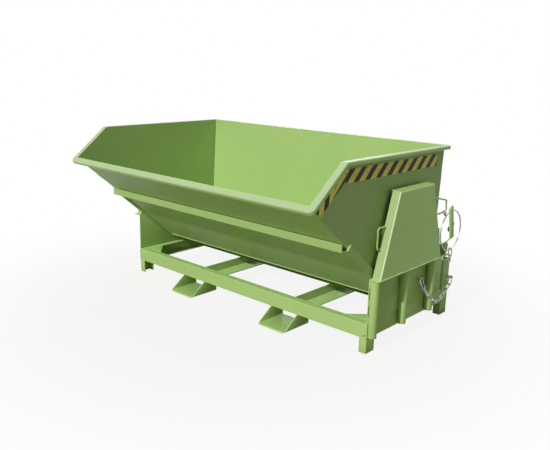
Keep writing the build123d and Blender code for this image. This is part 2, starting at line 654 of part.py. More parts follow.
lug_span = (HOOK_IN + HOOK_WALL + HOOK_PLAY, LEVER_IN - LUG_PLAY)
lug_top = STAND_BASE + LUG_HEIGHT
lug_back = BASE_PLATE_LENGTH + LUG_OVERHANG
lug = block(lug_span, (BASE_PLATE_LENGTH - LUG_LENGTH, BASE_PLATE_LENGTH), (STAND_BASE, lug_top))
lug += block(lug_span, (BASE_PLATE_LENGTH, lug_back), (LEVER_PIVOT_HEIGHT, lug_top))
stop_span = (LEVER_BACK + LEVER_STOP_GAP, lug_back)
lug += leaned(block((lug_span[1], LEVER_OUT), stop_span, (LEVER_PIVOT_HEIGHT + SHAFT_DIAMETER, lug_top)))
bore = SHAFT_DIAMETER + 2 * SHAFT_CLEARANCE
lug -= rod_along_x(bore, lug_span, LEVER_PIVOT_BACK, LEVER_PIVOT_HEIGHT)
keep("lever_lug", lug)

hook_span = (HOOK_IN, HOOK_IN + HOOK_WALL)
stud_reach = math.hypot(STUD_BACK - LEVER_PIVOT_BACK, STUD_HEIGHT - LEVER_PIVOT_HEIGHT)
stud_angle = math.degrees(math.atan2(STUD_HEIGHT - LEVER_PIVOT_HEIGHT, STUD_BACK - LEVER_PIVOT_BACK))
bar_near = -(STUD_DIAMETER / 2 + STUD_GAP)
bar_far = bar_near - HOOK_BAR
tooth_low = stud_reach + STUD_DIAMETER / 2 + STUD_GAP
tooth_high = tooth_low + HOOK_TOOTH
hook_outline = [(0, bar_near), (tooth_low, bar_near), (tooth_low, -bar_near), (tooth_high, -bar_near)]
hook_outline += [(tooth_high, bar_far), (0, bar_far)]
hook_turn = Pos(LEVER_PIVOT_BACK, LEVER_PIVOT_HEIGHT) * Rot(0, 0, stud_angle - LOCK_ANGLE)
hook_plane = Plane.YZ.offset(hook_span[0]) * hook_turn
latch = extrude(hook_plane * Polygon(*hook_outline, align=None), HOOK_WALL, dir=(1, 0, 0))
hub_size = max(HOOK_HUB_DIAMETER, 2 * SHAFT_DIAMETER)
latch += rod_along_x(hub_size, hook_span, LEVER_PIVOT_BACK, LEVER_PIVOT_HEIGHT)
latch -= rod_along_x(SHAFT_DIAMETER, hook_span, LEVER_PIVOT_BACK, LEVER_PIVOT_HEIGHT)
keep("latch_hook", latch)

stud_span = (WALL_FACE, hook_span[1] + STUD_GAP)
keep("catch_stud", rod_along_x(STUD_DIAMETER, stud_span, STUD_BACK, STUD_HEIGHT))

peg_span = (LEVER_FACE - LEVER_WALL - PEG_LENGTH, LEVER_FACE - LEVER_WALL)
keep("lever_peg", leaned(rod_along_x(PEG_DIAMETER, peg_span, LEVER_FRONT + LEVER_WIDTH / 2, PEG_HEIGHT)))


# Chain links
def chain_link(start, end, normal):
    """Wire link whose inner ends lie near two points, in a plane with a given normal."""
    pitch = (end - start).length
    inner_width = LINK_WIDTH - 2 * CHAIN_WIRE
    bend = (inner_width + CHAIN_WIRE) / 2
    straight = pitch + LINK_PLAY + CHAIN_WIRE - 2 * bend
    plane = Plane(origin=(start + end) * 0.5, x_dir=end - start, z_dir=normal)
    path = SlotCenterToCenter(straight, 2 * bend).wire()
    section = Plane(origin=path @ 0, z_dir=path % 0) * Circle(CHAIN_WIRE / 2)
    return plane * sweep(section, path=path)


# Pull ring with its eye and hanging links
eye_drop = EYE_RADIUS - EYE_WIRE / 2 - LOOP_BAR / 2 - EYE_GAP
eye_height = REAR_LOOP_BOTTOM - eye_drop
ring = Pos(RING_FACE, RING_BACK, RING_HEIGHT) * Rot(0, 90, 0) * Torus(RING_RADIUS, RING_WIRE / 2)
eye_middle = Vector(rear_loop_x, EYE_BACK, eye_height)
eye = Pos(*tuple(eye_middle)) * Rot(90, 0, 0) * Torus(EYE_RADIUS, EYE_WIRE / 2)
ring_middle = Vector(RING_FACE, RING_BACK, RING_HEIGHT)
towards_ring = (ring_middle - eye_middle).normalized()
ferrule_start = eye_middle + towards_ring * EYE_RADIUS
ferrule_end = ring_middle - towards_ring * RING_RADIUS
ferrule_plane = Plane(origin=ferrule_start, z_dir=ferrule_end - ferrule_start)
ferrule = extrude(ferrule_plane * Circle(FERRULE_DIAMETER / 2), (ferrule_end - ferrule_start).length)
keep("pull_ring", ring + eye + ferrule)

hang_rise = math.sqrt(RING_RADIUS ** 2 - (HANG_BACK - RING_BACK) ** 2)
hang_top = RING_HEIGHT - hang_rise + RING_WIRE / 2 + LINK_PLAY / 2
hang_points = [Vector(RING_FACE, HANG_BACK, hang_top - index * HANG_LINK) for index in range(3)]
hang_links = [chain_link(hang_points[0], hang_points[1], (0, 1, 0))]
hang_links += [chain_link(hang_points[1], hang_points[2], (1, 0, 0))]
keep("ring_chain", *hang_links)

# Chain hook and staple
hook_points = [(END_FACE, HOOK_BACK, HOOK_HEIGHT), (END_FACE + HOOK_OUT, HOOK_BACK, HOOK_HEIGHT)]
hook_points += [(END_FACE + HOOK_OUT, HOOK_BACK, HOOK_HEIGHT + HOOK_RISE)]
keep("chain_hook", bent_rod(HOOK_ROD, hook_points, HOOK_ROD))
staple_points = []
for reach, edge in ((0, -1), (1, -1), (1, 1), (0, 1)):
    staple_y = STAPLE_BACK + edge * STAPLE_WIDTH / 2
    staple_points.append((END_FACE + reach * STAPLE_OUT, staple_y, STAPLE_HEIGHT))
keep("chain_staple", bent_rod(STAPLE_ROD, staple_points, STAPLE_ROD))

# Snap hook with its gate
def tilted(shape):
    """The shape turned with the snap hook about the chain hook's rod, towards the chain."""
    rod_axis = Axis((0, HOOK_BACK, HOOK_HEIGHT), (1, 0, 0))
    return shape.rotate(rod_axis, SNAP_TILT)


snap_x = END_FACE + SNAP_OUT
snap_bend = (SNAP_WIDTH - SNAP_WIRE) / 2
snap_top = HOOK_HEIGHT + HOOK_ROD / 2 + LINK_PLAY / 2 + SNAP_WIRE / 2
snap_bottom = snap_top - SNAP_LENGTH + SNAP_WIRE
gate_top = (snap_top + snap_bottom) / 2 + SNAP_GATE / 2
gate_foot = gate_top - SNAP_GATE
gate_y = HOOK_BACK + snap_bend
front_y = HOOK_BACK - snap_bend
snap_points = [(snap_x, gate_y, gate_top), (snap_x, gate_y, snap_top), (snap_x, front_y, snap_top)]
snap_points += [(snap_x, front_y, snap_bottom), (snap_x, gate_y, snap_bottom), (snap_x, gate_y, gate_foot)]
keep("snap_hook", tilted(bent_rod(SNAP_WIRE, snap_points, snap_bend - 0.1)))
gate_axis = gate_foot + GATE_GAP + GATE_DIAMETER / 2
gate_bar = gate_top - GATE_GAP - gate_axis
gate = Pos(snap_x, gate_y, gate_axis + gate_bar / 2) * Cylinder(GATE_DIAMETER / 2, gate_bar)
gate += Pos(snap_x, gate_y, gate_axis) * Sphere(GATE_DIAMETER / 2)
keep("snap_gate", tilted(gate))

# Safety chain from the snap hook to the staple
last_tube = TUBE_SETBACK + (TUBE_COUNT - 1) * TUBE_PITCH
chain_middle = []
for lead, height in zip(CHAIN_TUBE_LEADS, CHAIN_TUBE_HEIGHTS):
    chain_middle.append(Vector(END_FACE + TUBE_DIAMETER + CHAIN_TUBE_CLEARANCE, last_tube + lead, height))
for out, share, height in zip(CHAIN_OUT, CHAIN_SHARES, CHAIN_HEIGHTS):
    chain_middle.append(Vector(END_FACE + out, last_tube + share * (STAPLE_BACK - last_tube), height))


def chain_seat(bar, rod, way, neighbour):
    """Start of a link hung round a rod with a given way, away from the next point of the chain."""
    apart = bar - neighbour
    away = (apart - way * apart.dot(way)).normalized()
    return bar + away * (rod / 2 + CHAIN_SEAT)


tilt = math.radians(SNAP_TILT)
snap_way = Vector(0, math.cos(tilt), math.sin(tilt))
snap_drop = Vector(0, math.sin(tilt), -math.cos(tilt)) * (HOOK_HEIGHT - snap_bottom)
snap_middle = Vector(snap_x, HOOK_BACK, HOOK_HEIGHT) + snap_drop
chain_start = chain_seat(snap_middle, SNAP_WIRE, snap_way, chain_middle[0])
staple_middle = Vector(END_FACE + STAPLE_OUT, STAPLE_BACK, STAPLE_HEIGHT)
staple_way = Vector(0, 1, 0)
chain_end = chain_seat(staple_middle, STAPLE_ROD, staple_way, chain_middle[-1])
chain_path = Spline(chain_start, *chain_middle, chain_end)
samples = [chain_path @ (index / 500) for index in range(501)]
travelled = [0.0]
for before, after in zip(samples, samples[1:]):
    travelled.append(travelled[-1] + (after - before).length)
chain_joints = []
for index in range(CHAIN_LINKS + 1):
    target = travelled[-1] * index / CHAIN_LINKS
    nearest = min(range(501), key=lambda place: abs(travelled[place] - target))
    chain_joints.append(samples[nearest])
links = []
for index in range(CHAIN_LINKS):
    along = (chain_joints[index + 1] - chain_joints[index]).normalized()
    across = snap_way if index == 0 else staple_way
    flat = (across - along * across.dot(along)).normalized()
    link_normal = flat if index % 2 == 0 else along.cross(flat)
    links.append(chain_link(chain_joints[index], chain_joints[index + 1], link_normal))
keep("safety_chain", *links)

# Centre the object on the ground and write the nodes
everything = Compound([solid for solids in nodes.values() for solid in solids])
box = everything.bounding_box()
shift = Pos(-(box.min.X + box.max.X) / 2, -(box.min.Y + box.max.Y) / 2, -box.min.Z)
print("shift", tuple(shift.position), "size", tuple(box.size))
os.makedirs("parts", exist_ok=True)
for name, solids in nodes.items():
    moved = [shift * solid for solid in solids]
    export_step(moved[0] if len(moved) == 1 else Compound(moved), "parts/" + name + ".step")
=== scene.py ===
"""Tipping hopper of green painted sheet steel: finishes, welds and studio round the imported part."""

import logging
import math
from dataclasses import dataclass, field
from enum import Enum
from typing import Dict, List, Optional, Sequence, Tuple, Union

import bpy
from mathutils import Matrix, Vector


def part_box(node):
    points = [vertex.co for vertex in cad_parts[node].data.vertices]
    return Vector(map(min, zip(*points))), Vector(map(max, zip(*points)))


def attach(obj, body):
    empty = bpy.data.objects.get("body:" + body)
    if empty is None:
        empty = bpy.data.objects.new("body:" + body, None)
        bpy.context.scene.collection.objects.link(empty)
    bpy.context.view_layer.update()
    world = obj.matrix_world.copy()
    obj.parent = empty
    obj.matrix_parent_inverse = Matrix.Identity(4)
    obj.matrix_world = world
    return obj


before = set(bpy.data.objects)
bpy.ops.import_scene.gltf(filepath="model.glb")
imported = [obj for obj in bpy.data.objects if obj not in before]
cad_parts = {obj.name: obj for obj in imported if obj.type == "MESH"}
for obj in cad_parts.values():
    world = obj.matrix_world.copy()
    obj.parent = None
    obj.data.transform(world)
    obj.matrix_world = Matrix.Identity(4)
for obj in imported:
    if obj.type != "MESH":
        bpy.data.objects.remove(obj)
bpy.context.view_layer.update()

logging.basicConfig(level=logging.INFO, format="%(message)s")
LOG = logging.getLogger("tipping_hopper")

Pair = Tuple[float, float]
Triple = Tuple[float, float, float]
Bead = Tuple[float, int, float]
Node = bpy.types.Node
Material = bpy.types.Material
Socket = Union[str, int]
Operand = Union[float, Tuple[Node, Socket]]
NODES: Dict[str, bpy.types.Object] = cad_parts

MM = 0.001
ZERO: Triple = (0.0, 0.0, 0.0)
WHITE = (1.0, 1.0, 1.0, 1.0)

# Directions that welds face
RIGHT: Triple = (1, 0, 0)
FRONT: Triple = (0, -1, 0)
BACK: Triple = (0, 1, 0)
UP: Triple = (0, 0, 1)

# Places in millimetres that several sub-assemblies share
BASE_END = 1000.0
RAIL_LOW = 86.0
RAIL_TOP = 171.0
PLATE_TOP = 425.0
TROUGH_LIP: Pair = (-496.0, 887.0)

# Parts of a noise's range that the finishes use, and what a ramp leads to
NOISE_MIDDLE: Pair = (0.35, 0.65)
NOISE_BROAD: Pair = (0.3, 0.7)
RISING: Pair = (0.0, 1.0)
FALLING: Pair = (1.0, 0.0)


def hopper_origin() -> Vector:
    """Point of the ground in the middle below the front rail's face, in metres."""
    low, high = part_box("front_rail")
    return Vector(((low.x + high.x) / 2, low.y, low.z - RAIL_LOW * MM))


ORIGIN = hopper_origin()


def place(x: float, y: float, z: float) -> Vector:
    """Point given in millimetres from the middle of the front rail's face on the ground.

    Args:
        x: Along the trough, positive to the right end.
        y: Behind the front rail's face.
        z: Above the ground.

    Returns:
        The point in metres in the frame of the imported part.
    """
    return ORIGIN + Vector((x, y, z)) * MM


def direction(azimuth: float, elevation: float) -> Vector:
    """Unit vector that points away from the hopper.

    Args:
        azimuth: Degrees from straight in front, positive to the right end.
        elevation: Degrees above the ground.

    Returns:
        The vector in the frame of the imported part.
    """
    turn, rise = math.radians(azimuth), math.radians(elevation)
    level = math.cos(rise)
    return Vector((math.sin(turn) * level, -math.cos(turn) * level, math.sin(rise)))


def end_names(*pieces: str) -> List[str]:
    """Names of the nodes of some pieces that the left and the right end both have."""
    return [f"{end}_{piece}" for piece in pieces for end in ("left", "right")]


class Body(Enum):
    """Moving groups of the hopper that carry welds."""

    BASE = "base"
    TROUGH = "trough"
    LEVER = "lock_lever"


class Slot(Enum):
    """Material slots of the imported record."""

    PAINT = "green_paint"
    ZINC = "galvanised"
    STEEL = "bare_steel"
    RUBBER = "black_rubber"
    TAPE = "hazard_tape"


class Edge(Enum):
    """Widths in millimetres of the rounding on a node's edges."""

    SHARP = 0.0
    FINE = 0.6
    SHEET = 0.8
    PLATE = 1.0
    BAR = 1.2
    MOULDED = 2.0


class Wiring:
    """Short way to add and wire the nodes of one tree."""

    def __init__(self, tree: bpy.types.NodeTree) -> None:
        """Keep the tree that the nodes go into."""
        self.tree = tree

    def add(self, kind: str, **settings: object) -> Node:
        """Add a node.

        Args:
            kind: Blender's type name of the node.
            settings: Attributes of the node, or default values of its inputs.

        Returns:
            The new node.
        """
        node = self.tree.nodes.new(kind)
        for key, value in settings.items():
            if hasattr(node, key):
                setattr(node, key, value)
            else:
                node.inputs[key.replace("_", " ")].default_value = value
        return node

    def link(self, source: Node, out: Socket, target: Node, into: Socket) -> None:
        """Wire an output socket to an input socket, each given by name or number."""
        self.tree.links.new(source.outputs[out], target.inputs[into])

    def ramp(self, source: Node, out: Socket, span: Pair, result: Pair = RISING) -> Node:
        """Clamped linear change of a value from one range to another.

        Args:
            source: Node that gives the value.
            out: Its output socket.
            span: The range that changes.
            result: What the ends of that range become.

        Returns:
            The map range node.
        """
        node = self.add("ShaderNodeMapRange")
        sockets = ("From Min", "From Max", "To Min", "To Max")
        for socket, value in zip(sockets, (*span, *result)):
            node.inputs[socket].default_value = value
        self.link(source, out, node, "Value")
        return node

    def math(self, operation: str, first: Operand, second: Operand = 0.0) -> Node:
        """Sum, product or other step on two values.

        Args:
            operation: The step.
            first: A number, or a node with its output socket.
            second: The same, where the step needs it.

        Returns:
            The math node.
        """
        node = self.add("ShaderNodeMath", operation=operation)
        for index, value in enumerate((first, second)):
            if isinstance(value, tuple):
                self.link(value[0], value[1], node, index)
            else:
                node.inputs[index].default_value = value
        return node


class NodeTree(Wiring):
    """Nodes of one finish: a principled shader with textures on the piece's own coordinates."""

    COLOUR_INPUTS = (6, 7)
    COLOUR_OUTPUT = 2

    def __init__(self, name: str) -> None:
        """Start a material with an output and a principled shader.

        Args:
            name: Name of the material.
        """
        self.material = bpy.data.materials.new(name)
        self.material.use_nodes = True
        super().__init__(self.material.node_tree)
        self.tree.nodes.clear()
        self.shader = self.add("ShaderNodeBsdfPrincipled")
        self.link(self.shader, "BSDF", self.add("ShaderNodeOutputMaterial"), "Surface")
        self.coords = self.add("ShaderNodeTexCoord")

    def noise(self, scale: float, detail: float = 2.0, stretch: Triple = (1, 1, 1)) -> Node:
        """Noise on the piece's own coordinates.

        Args:
            scale: Waves to the metre.
            detail: Octaves of finer noise.
            stretch: Factor on each axis, for streaks.

        Returns:
            The noise node.
        """
        mapping = self.add("ShaderNodeMapping")
        mapping.inputs["Scale"].default_value = stretch
        node = self.add("ShaderNodeTexNoise", Scale=scale, Detail=detail)
        self.link(self.coords, "Object", mapping, "Vector")
        self.link(mapping, "Vector", node, "Vector")
        return node

    def blend(self, factor: Node, out: Socket, first: object, second: object) -> Node:
        """Mix of two colours by a factor, each a colour or another mix.

        Args:
            factor: Node that gives the factor.
            out: Its output socket.
            first: Colour at factor 0.
            second: Colour at factor 1.

        Returns:
            The mix node.
        """
        node = self.add("ShaderNodeMix", data_type="RGBA")
        self.link(factor, out, node, 0)
        for index, value in zip(self.COLOUR_INPUTS, (first, second)):
            if isinstance(value, Node):
                self.link(value, self.COLOUR_OUTPUT, node, index)
            else:
                node.inputs[index].default_value = (*value, 1.0)
        return node

    def bump(self, noise: Node, depth: float, under: Optional[Node] = None) -> Node:
        """Relief from a noise.

        Args:
            noise: The noise.
            depth: Height of the relief in metres.
            under: Relief that this one lies on.

        Returns:
            The bump node.
        """
        node = self.add("ShaderNodeBump", Strength=1.0, Distance=depth)
        self.link(noise, "Fac", node, "Height")
        if under is not None:
            self.link(under, "Normal", node, "Normal")
        return node

    def finish(self, colour: Node, roughness: Node, relief: Node) -> None:
        """Wire a finish to the shader.

        Args:
            colour: Its mix of colours.
            roughness: Its ramp of roughness.
            relief: Its bump.
        """
        self.link(colour, self.COLOUR_OUTPUT, self.shader, "Base Color")
        self.link(roughness, "Result", self.shader, "Roughness")
        self.link(relief, "Normal", self.shader, "Normal")

    def constant(self, socket: str, value: float) -> None:
        """Set a number that is the same all over on the shader's own socket."""
        self.shader.inputs[socket].default_value = value


@dataclass(frozen=True)
class GreenPaint:
    """Stoved paint on steel sheet, satin, with a faint orange-peel skin.

    Upward faces carry a film that is partly dust and partly painted top light: paler as a painted sheen,
    or darker as painted shade where the tone itself is painted light. Faces to the front can take a darker
    tone as painted shade, and folded front corners can carry a painted highlight in patches. Clouds,
    mottle, waves and peel are noises, each a scale in waves to the metre and its detail. Depths are in
    metres. The other pairs are ranges of a face's normal, a noise or a share.
    """

    name: str = "green_stoved_paint"
    tone: Triple = (0.385, 0.548, 0.186)
    pale: Triple = (0.410, 0.575, 0.205)
    # Film on upward faces, partly dust and partly painted top light
    dust_and_light_tone: Triple = (0.510, 0.720, 0.270)
    dust_and_light_least: float = 0.65
    dust_and_light_most: float = 0.8
    dust_and_light_patches: Pair = (0.42, 0.62)
    upward: Pair = (0.5, 0.78)
    # Darker tone on faces to the front, as painted shade
    front: Optional[Triple] = None
    frontward: Pair = (-0.90, -0.75)
    # Painted highlight along folded front corners
    painted_bend_highlight: bool = False
    wear_and_highlight: Triple = (0.800, 0.850, 0.730)
    highlight_patches: Pair = (0.3, 0.5)
    highlight_share: Pair = (0.55, 0.95)
    bend_begins: Pair = (0.34, 0.50)
    bend_ends: Pair = (0.80, 0.92)
    bend_front: Pair = (-0.5, -0.25)
    roughness: Pair = (0.37, 0.49)
    specular: float = 0.05
    coat: float = 0.28
    coat_roughness: float = 0.26
    clouds: Pair = (1.7, 3.0)
    mottle: Pair = (34.0, 4.0)
    waves: Pair = (3.2, 1.0)
    wave_depth: float = 0.0007
    peel: Pair = (620.0, 2.0)
    peel_depth: float = 0.00012

    def material(self) -> Material:
        """Build the node material.

        Returns:
            The material.
        """
        tree = NodeTree(self.name)
        mottle = tree.noise(*self.mottle)
        tint = tree.ramp(tree.noise(*self.clouds), "Fac", NOISE_MIDDLE)
        colour = tree.blend(tint, "Result", self.tone, self.pale)
        axes = tree.add("ShaderNodeSeparateXYZ")
        tree.link(tree.add("ShaderNodeNewGeometry"), "Normal", axes, "Vector")
        # Film on upward faces: partly dust, partly painted top light
        upward = tree.ramp(axes, "Z", self.upward, (0.0, self.dust_and_light_most))
        patches = tree.ramp(mottle, "Fac", self.dust_and_light_patches, (self.dust_and_light_least, 1.0))
        dust_and_light_share = tree.math("MULTIPLY", (upward, "Result"), (patches, "Result"))
        colour = tree.blend(dust_and_light_share, 0, colour, self.dust_and_light_tone)
        # Faces to the front take a darker tone, as painted shade
        if self.front is not None:
            facing = tree.ramp(axes, "Y", self.frontward, FALLING)
            colour = tree.blend(facing, "Result", colour, self.front)
        # Painted highlight along folded front corners, in patches
        if self.painted_bend_highlight:
            colour = tree.blend(self.bend_highlight_share(tree, axes, mottle), 0, colour, self.wear_and_highlight)
        rough = tree.ramp(mottle, "Fac", NOISE_BROAD, self.roughness)
        sheet_wave = tree.bump(tree.noise(*self.waves), self.wave_depth)
        peel = tree.bump(tree.noise(*self.peel), self.peel_depth, sheet_wave)
        tree.finish(colour, rough, peel)
        tree.constant("Specular IOR Level", self.specular)
        tree.constant("Coat Weight", self.coat)
        tree.constant("Coat Roughness", self.coat_roughness)
        return tree.material

    def bend_highlight_share(self, tree: NodeTree, axes: Node, mottle: Node) -> Node:
        """Share of painted highlight on folded front corners, where a face lies between the end and the
        front.

        Args:
            tree: Tree of the material.
            axes: The parts of the face's normal.
            mottle: Noise that breaks up the painted highlight.

        Returns:
            The node that gives the share.
        """
        sideways = tree.math("ABSOLUTE", (axes, "X"))
        begins = tree.ramp(sideways, 0, self.bend_begins)
        ends = tree.ramp(sideways, 0, self.bend_ends, FALLING)
        bend = tree.math("MULTIPLY", (begins, "Result"), (ends, "Result"))
        forward = tree.ramp(axes, "Y", self.bend_front, FALLING)
        bend = tree.math("MULTIPLY", (bend, 0), (forward, "Result"))
        painted_light = tree.ramp(mottle, "Fac", self.highlight_patches, self.highlight_share)
        return tree.math("MULTIPLY", (bend, 0), (painted_light, "Result"))


# Paint of most parts; its paler film on upward faces is partly dust and partly painted top light
PLAIN_PAINT = GreenPaint()
# Paint of the stands and the left slope strip: a lighter tone as painted light, a darker film on upward
# faces and a darker tone on front faces as painted shade, and a painted highlight along folded front
# corners
PAINTED_LIGHT_PAINT = GreenPaint("green_paint_painted_light", tone=(0.460, 0.675, 0.250), pale=(0.480, 0.695, 0.265),
                          dust_and_light_tone=(0.258, 0.395, 0.108), dust_and_light_least=0.75, coat=0.12, painted_bend_highlight=True,
                          front=(0.390, 0.520, 0.222))
# Paint of the rims: a paler, bluish film on upward faces, partly dust and partly a painted sheen
RIM_PAINT = GreenPaint("green_rim_paint", dust_and_light_tone=(0.450, 0.552, 0.385), dust_and_light_least=0.75, coat=0.2)
# Darker copy of the paint, as painted shade on the end walls, the right slope strip and the stiffener
PAINTED_SHADE_PAINT = GreenPaint("green_paint_painted_shade", tone=(0.325, 0.468, 0.158), pale=(0.345, 0.490, 0.172),
                       coat=0.2)


@dataclass(frozen=True)
class PatchedFinish:
    """Finish of two tones in soft patches, with a fine grain.

    The patches and the grain are noises, each a scale in waves to the metre and its detail.
    """

    name: str
    tone: Triple
    patch_tone: Triple
    patches: Pair
    grain: Pair
    grain_depth: float
    roughness: Pair
    patch_span: Pair = NOISE_MIDDLE
    grain_stretch: Triple = (1.0, 1.0, 1.0)
    metallic: float = 0.0

    def material(self) -> Material:
        """Build the node material.

        Returns:
            The material.
        """
        tree = NodeTree(self.name)
        patches = tree.noise(*self.patches)
        grain = tree.noise(*self.grain, self.grain_stretch)
        tint = tree.ramp(patches, "Fac", self.patch_span)
        colour = tree.blend(tint, "Result", self.tone, self.patch_tone)
        rough = tree.ramp(patches, "Fac", NOISE_BROAD, self.roughness)
        tree.finish(colour, rough, tree.bump(grain, self.grain_depth))
        tree.constant("Metallic", self.metallic)
        return tree.material


# Chain and ring wire, dull in patches
ZINC_WIRE = PatchedFinish("zinc_plated_wire", tone=(0.31, 0.32, 0.32), patch_tone=(0.60, 0.61, 0.61),
                          patches=(85.0, 4.0), grain=(900.0, 3.0), grain_depth=0.0001,
                          roughness=(0.42, 0.26), metallic=1.0)
# Machined steel with fine tool marks round X under a film of oil
TURNED_STEEL = PatchedFinish("turned_bare_steel", tone=(0.33, 0.31, 0.28), patch_tone=(0.56, 0.55, 0.53),
                             patches=(60.0, 3.0), grain=(40.0, 1.0), grain_depth=0.0002,
                             roughness=(0.4, 0.24), grain_stretch=(60.0, 1.0, 1.0), metallic=1.0)
# Moulded rubber with a grey bloom
BLACK_RUBBER = PatchedFinish("moulded_black_rubber", tone=(0.016, 0.016, 0.017),
                             patch_tone=(0.040, 0.040, 0.042), patches=(45.0, 4.0), grain=(1200.0, 2.0),
                             grain_depth=0.00015, roughness=(0.5, 0.72), patch_span=(0.4, 0.7))


@dataclass(frozen=True)
class HazardTape:
    """Yellow and black striped tape whose stripes lean across the strip, along both its runs.

    The period and the starts are in millimetres along the strip from its knee.
    """

    FLOAT_INPUTS = (2, 3)

    name: str = "striped_hazard_tape"
    yellow: Triple = (0.93, 0.775, 0.165)
    black: Triple = (0.020, 0.020, 0.019)
    scuff: Triple = (0.42, 0.38, 0.24)
    period: float = 99.0
    black_share: float = 0.48
    soft_edge: float = 0.01
    level_start: float = 89.0
    slope_start: float = 46.0
    knee: Pair = (-264.0, 1073.0)
    lip: Pair = TROUGH_LIP
    wear: Pair = (55.0, 6.0)
    worn_span: Pair = (0.62, 0.78)
    most_worn: float = 0.18
    roughness: Pair = (0.34, 0.52)
    grain: Pair = (140.0, 2.0)
    grain_depth: float = 0.0004
    specular: float = 0.12

    def material(self) -> Material:
        """Build the node material.

        Returns:
            The material.
        """
        tree = NodeTree(self.name)
        slant = math.atan2(self.knee[1] - self.lip[1], self.knee[0] - self.lip[0])
        level = self.stripes(tree, 0.0, self.level_start)
        sloping = self.stripes(tree, slant, self.slope_start)
        side = tree.math("GREATER_THAN", (self.lean(tree, -slant / 2), "Value"))
        chosen = tree.add("ShaderNodeMix", data_type="FLOAT")
        tree.link(side, 0, chosen, 0)
        for index, stripes in zip(self.FLOAT_INPUTS, (sloping, level)):
            tree.link(stripes, 0, chosen, index)
        border = (self.black_share - self.soft_edge, self.black_share + self.soft_edge)
        colour = tree.blend(tree.ramp(chosen, 0, border), "Result", self.black, self.yellow)
        wear = tree.noise(*self.wear)
        wear_and_highlight = tree.ramp(wear, "Fac", self.worn_span, (0.0, self.most_worn))
        colour = tree.blend(wear_and_highlight, "Result", colour, self.scuff)
        rough = tree.ramp(wear, "Fac", NOISE_BROAD, self.roughness)
        tree.finish(colour, rough, tree.bump(tree.noise(*self.grain), self.grain_depth))
        tree.constant("Specular IOR Level", self.specular)
        return tree.material

    def lean(self, tree: NodeTree, turn: float) -> Node:
        """Distance from the knee along a direction turned up from the level run.

        Args:
            tree: Tree of the material.
            turn: Angle of the direction in radians.

        Returns:
            The node whose value is the distance in metres.
        """
        mapping = tree.add("ShaderNodeMapping", vector_type="POINT")
        mapping.inputs["Location"].default_value = -place(0.0, *self.knee)
        along = tree.add("ShaderNodeVectorMath", operation="DOT_PRODUCT")
        along.inputs[1].default_value = (0.0, math.cos(turn), math.sin(turn))
        tree.link(tree.coords, "Object", mapping, "Vector")
        tree.link(mapping, "Vector", along, 0)
        return along

    def stripes(self, tree: NodeTree, turn: float, start: float) -> Node:
        """Place within one period, from 0 to 1, of stripes at half a right angle to the strip.

        Args:
            tree: Tree of the material.
            turn: Angle of the run in radians.
            start: Where the first stripe begins.

        Returns:
            The node that gives the place.
        """
        across = self.lean(tree, turn - math.pi / 4)
        pitch = self.period * MM / math.sqrt(2)
        turns = tree.math("DIVIDE", (across, "Value"), pitch)
        begun = tree.math("ADD", (turns, 0), start / self.period)
        return tree.math("FRACT", (begun, 0))


@dataclass
class Finishes:
    """All finishes of the hopper, built once."""

    # Paler film on upward faces: partly dust, partly painted top light
    paint: Material = field(default_factory=PLAIN_PAINT.material)
    # Stand paint with painted light, painted shade and a painted bend highlight
    painted_light: Material = field(default_factory=PAINTED_LIGHT_PAINT.material)
    # Rim paint with a painted sheen on upward faces
    rim: Material = field(default_factory=RIM_PAINT.material)
    # Darker paint as painted shade
    end: Material = field(default_factory=PAINTED_SHADE_PAINT.material)
    zinc: Material = field(default_factory=ZINC_WIRE.material)
    steel: Material = field(default_factory=TURNED_STEEL.material)
    rubber: Material = field(default_factory=BLACK_RUBBER.material)
    tape: Material = field(default_factory=HazardTape().material)

    def of(self, slot: Slot) -> Material:
        """Material of a slot of the record."""
        return {Slot.PAINT: self.paint, Slot.ZINC: self.zinc, Slot.STEEL: self.steel,
                Slot.RUBBER: self.rubber, Slot.TAPE: self.tape}[slot]


def smooth_shading_group(angle: float) -> bpy.types.NodeTree:
    """Node group that shades a mesh smooth up to an angle.

    Args:
        angle: Edges that turn by more than this, in radians, stay sharp.

    Returns:
        The geometry node group.
    """
    group = bpy.data.node_groups.new("smooth_up_to_angle", "GeometryNodeTree")
    for way in ("INPUT", "OUTPUT"):
        group.interface.new_socket("Geometry", in_out=way, socket_type="NodeSocketGeometry")
    wiring = Wiring(group)
    faces = wiring.add("GeometryNodeSetShadeSmooth")
    edges = wiring.add("GeometryNodeSetShadeSmooth", domain="EDGE", Shade_Smooth=False)
    sharp = wiring.add("FunctionNodeCompare", data_type="FLOAT", operation="GREATER_THAN")
    sharp.inputs[1].default_value = angle
    wiring.link(wiring.add("NodeGroupInput"), 0, faces, "Geometry")
    wiring.link(faces, 0, edges, "Geometry")
    wiring.link(wiring.add("GeometryNodeInputMeshEdgeAngle"), "Unsigned Angle", sharp, 0)
    wiring.link(sharp, 0, edges, "Selection")
    wiring.link(edges, 0, wiring.add("NodeGroupOutput"), 0)
    return group


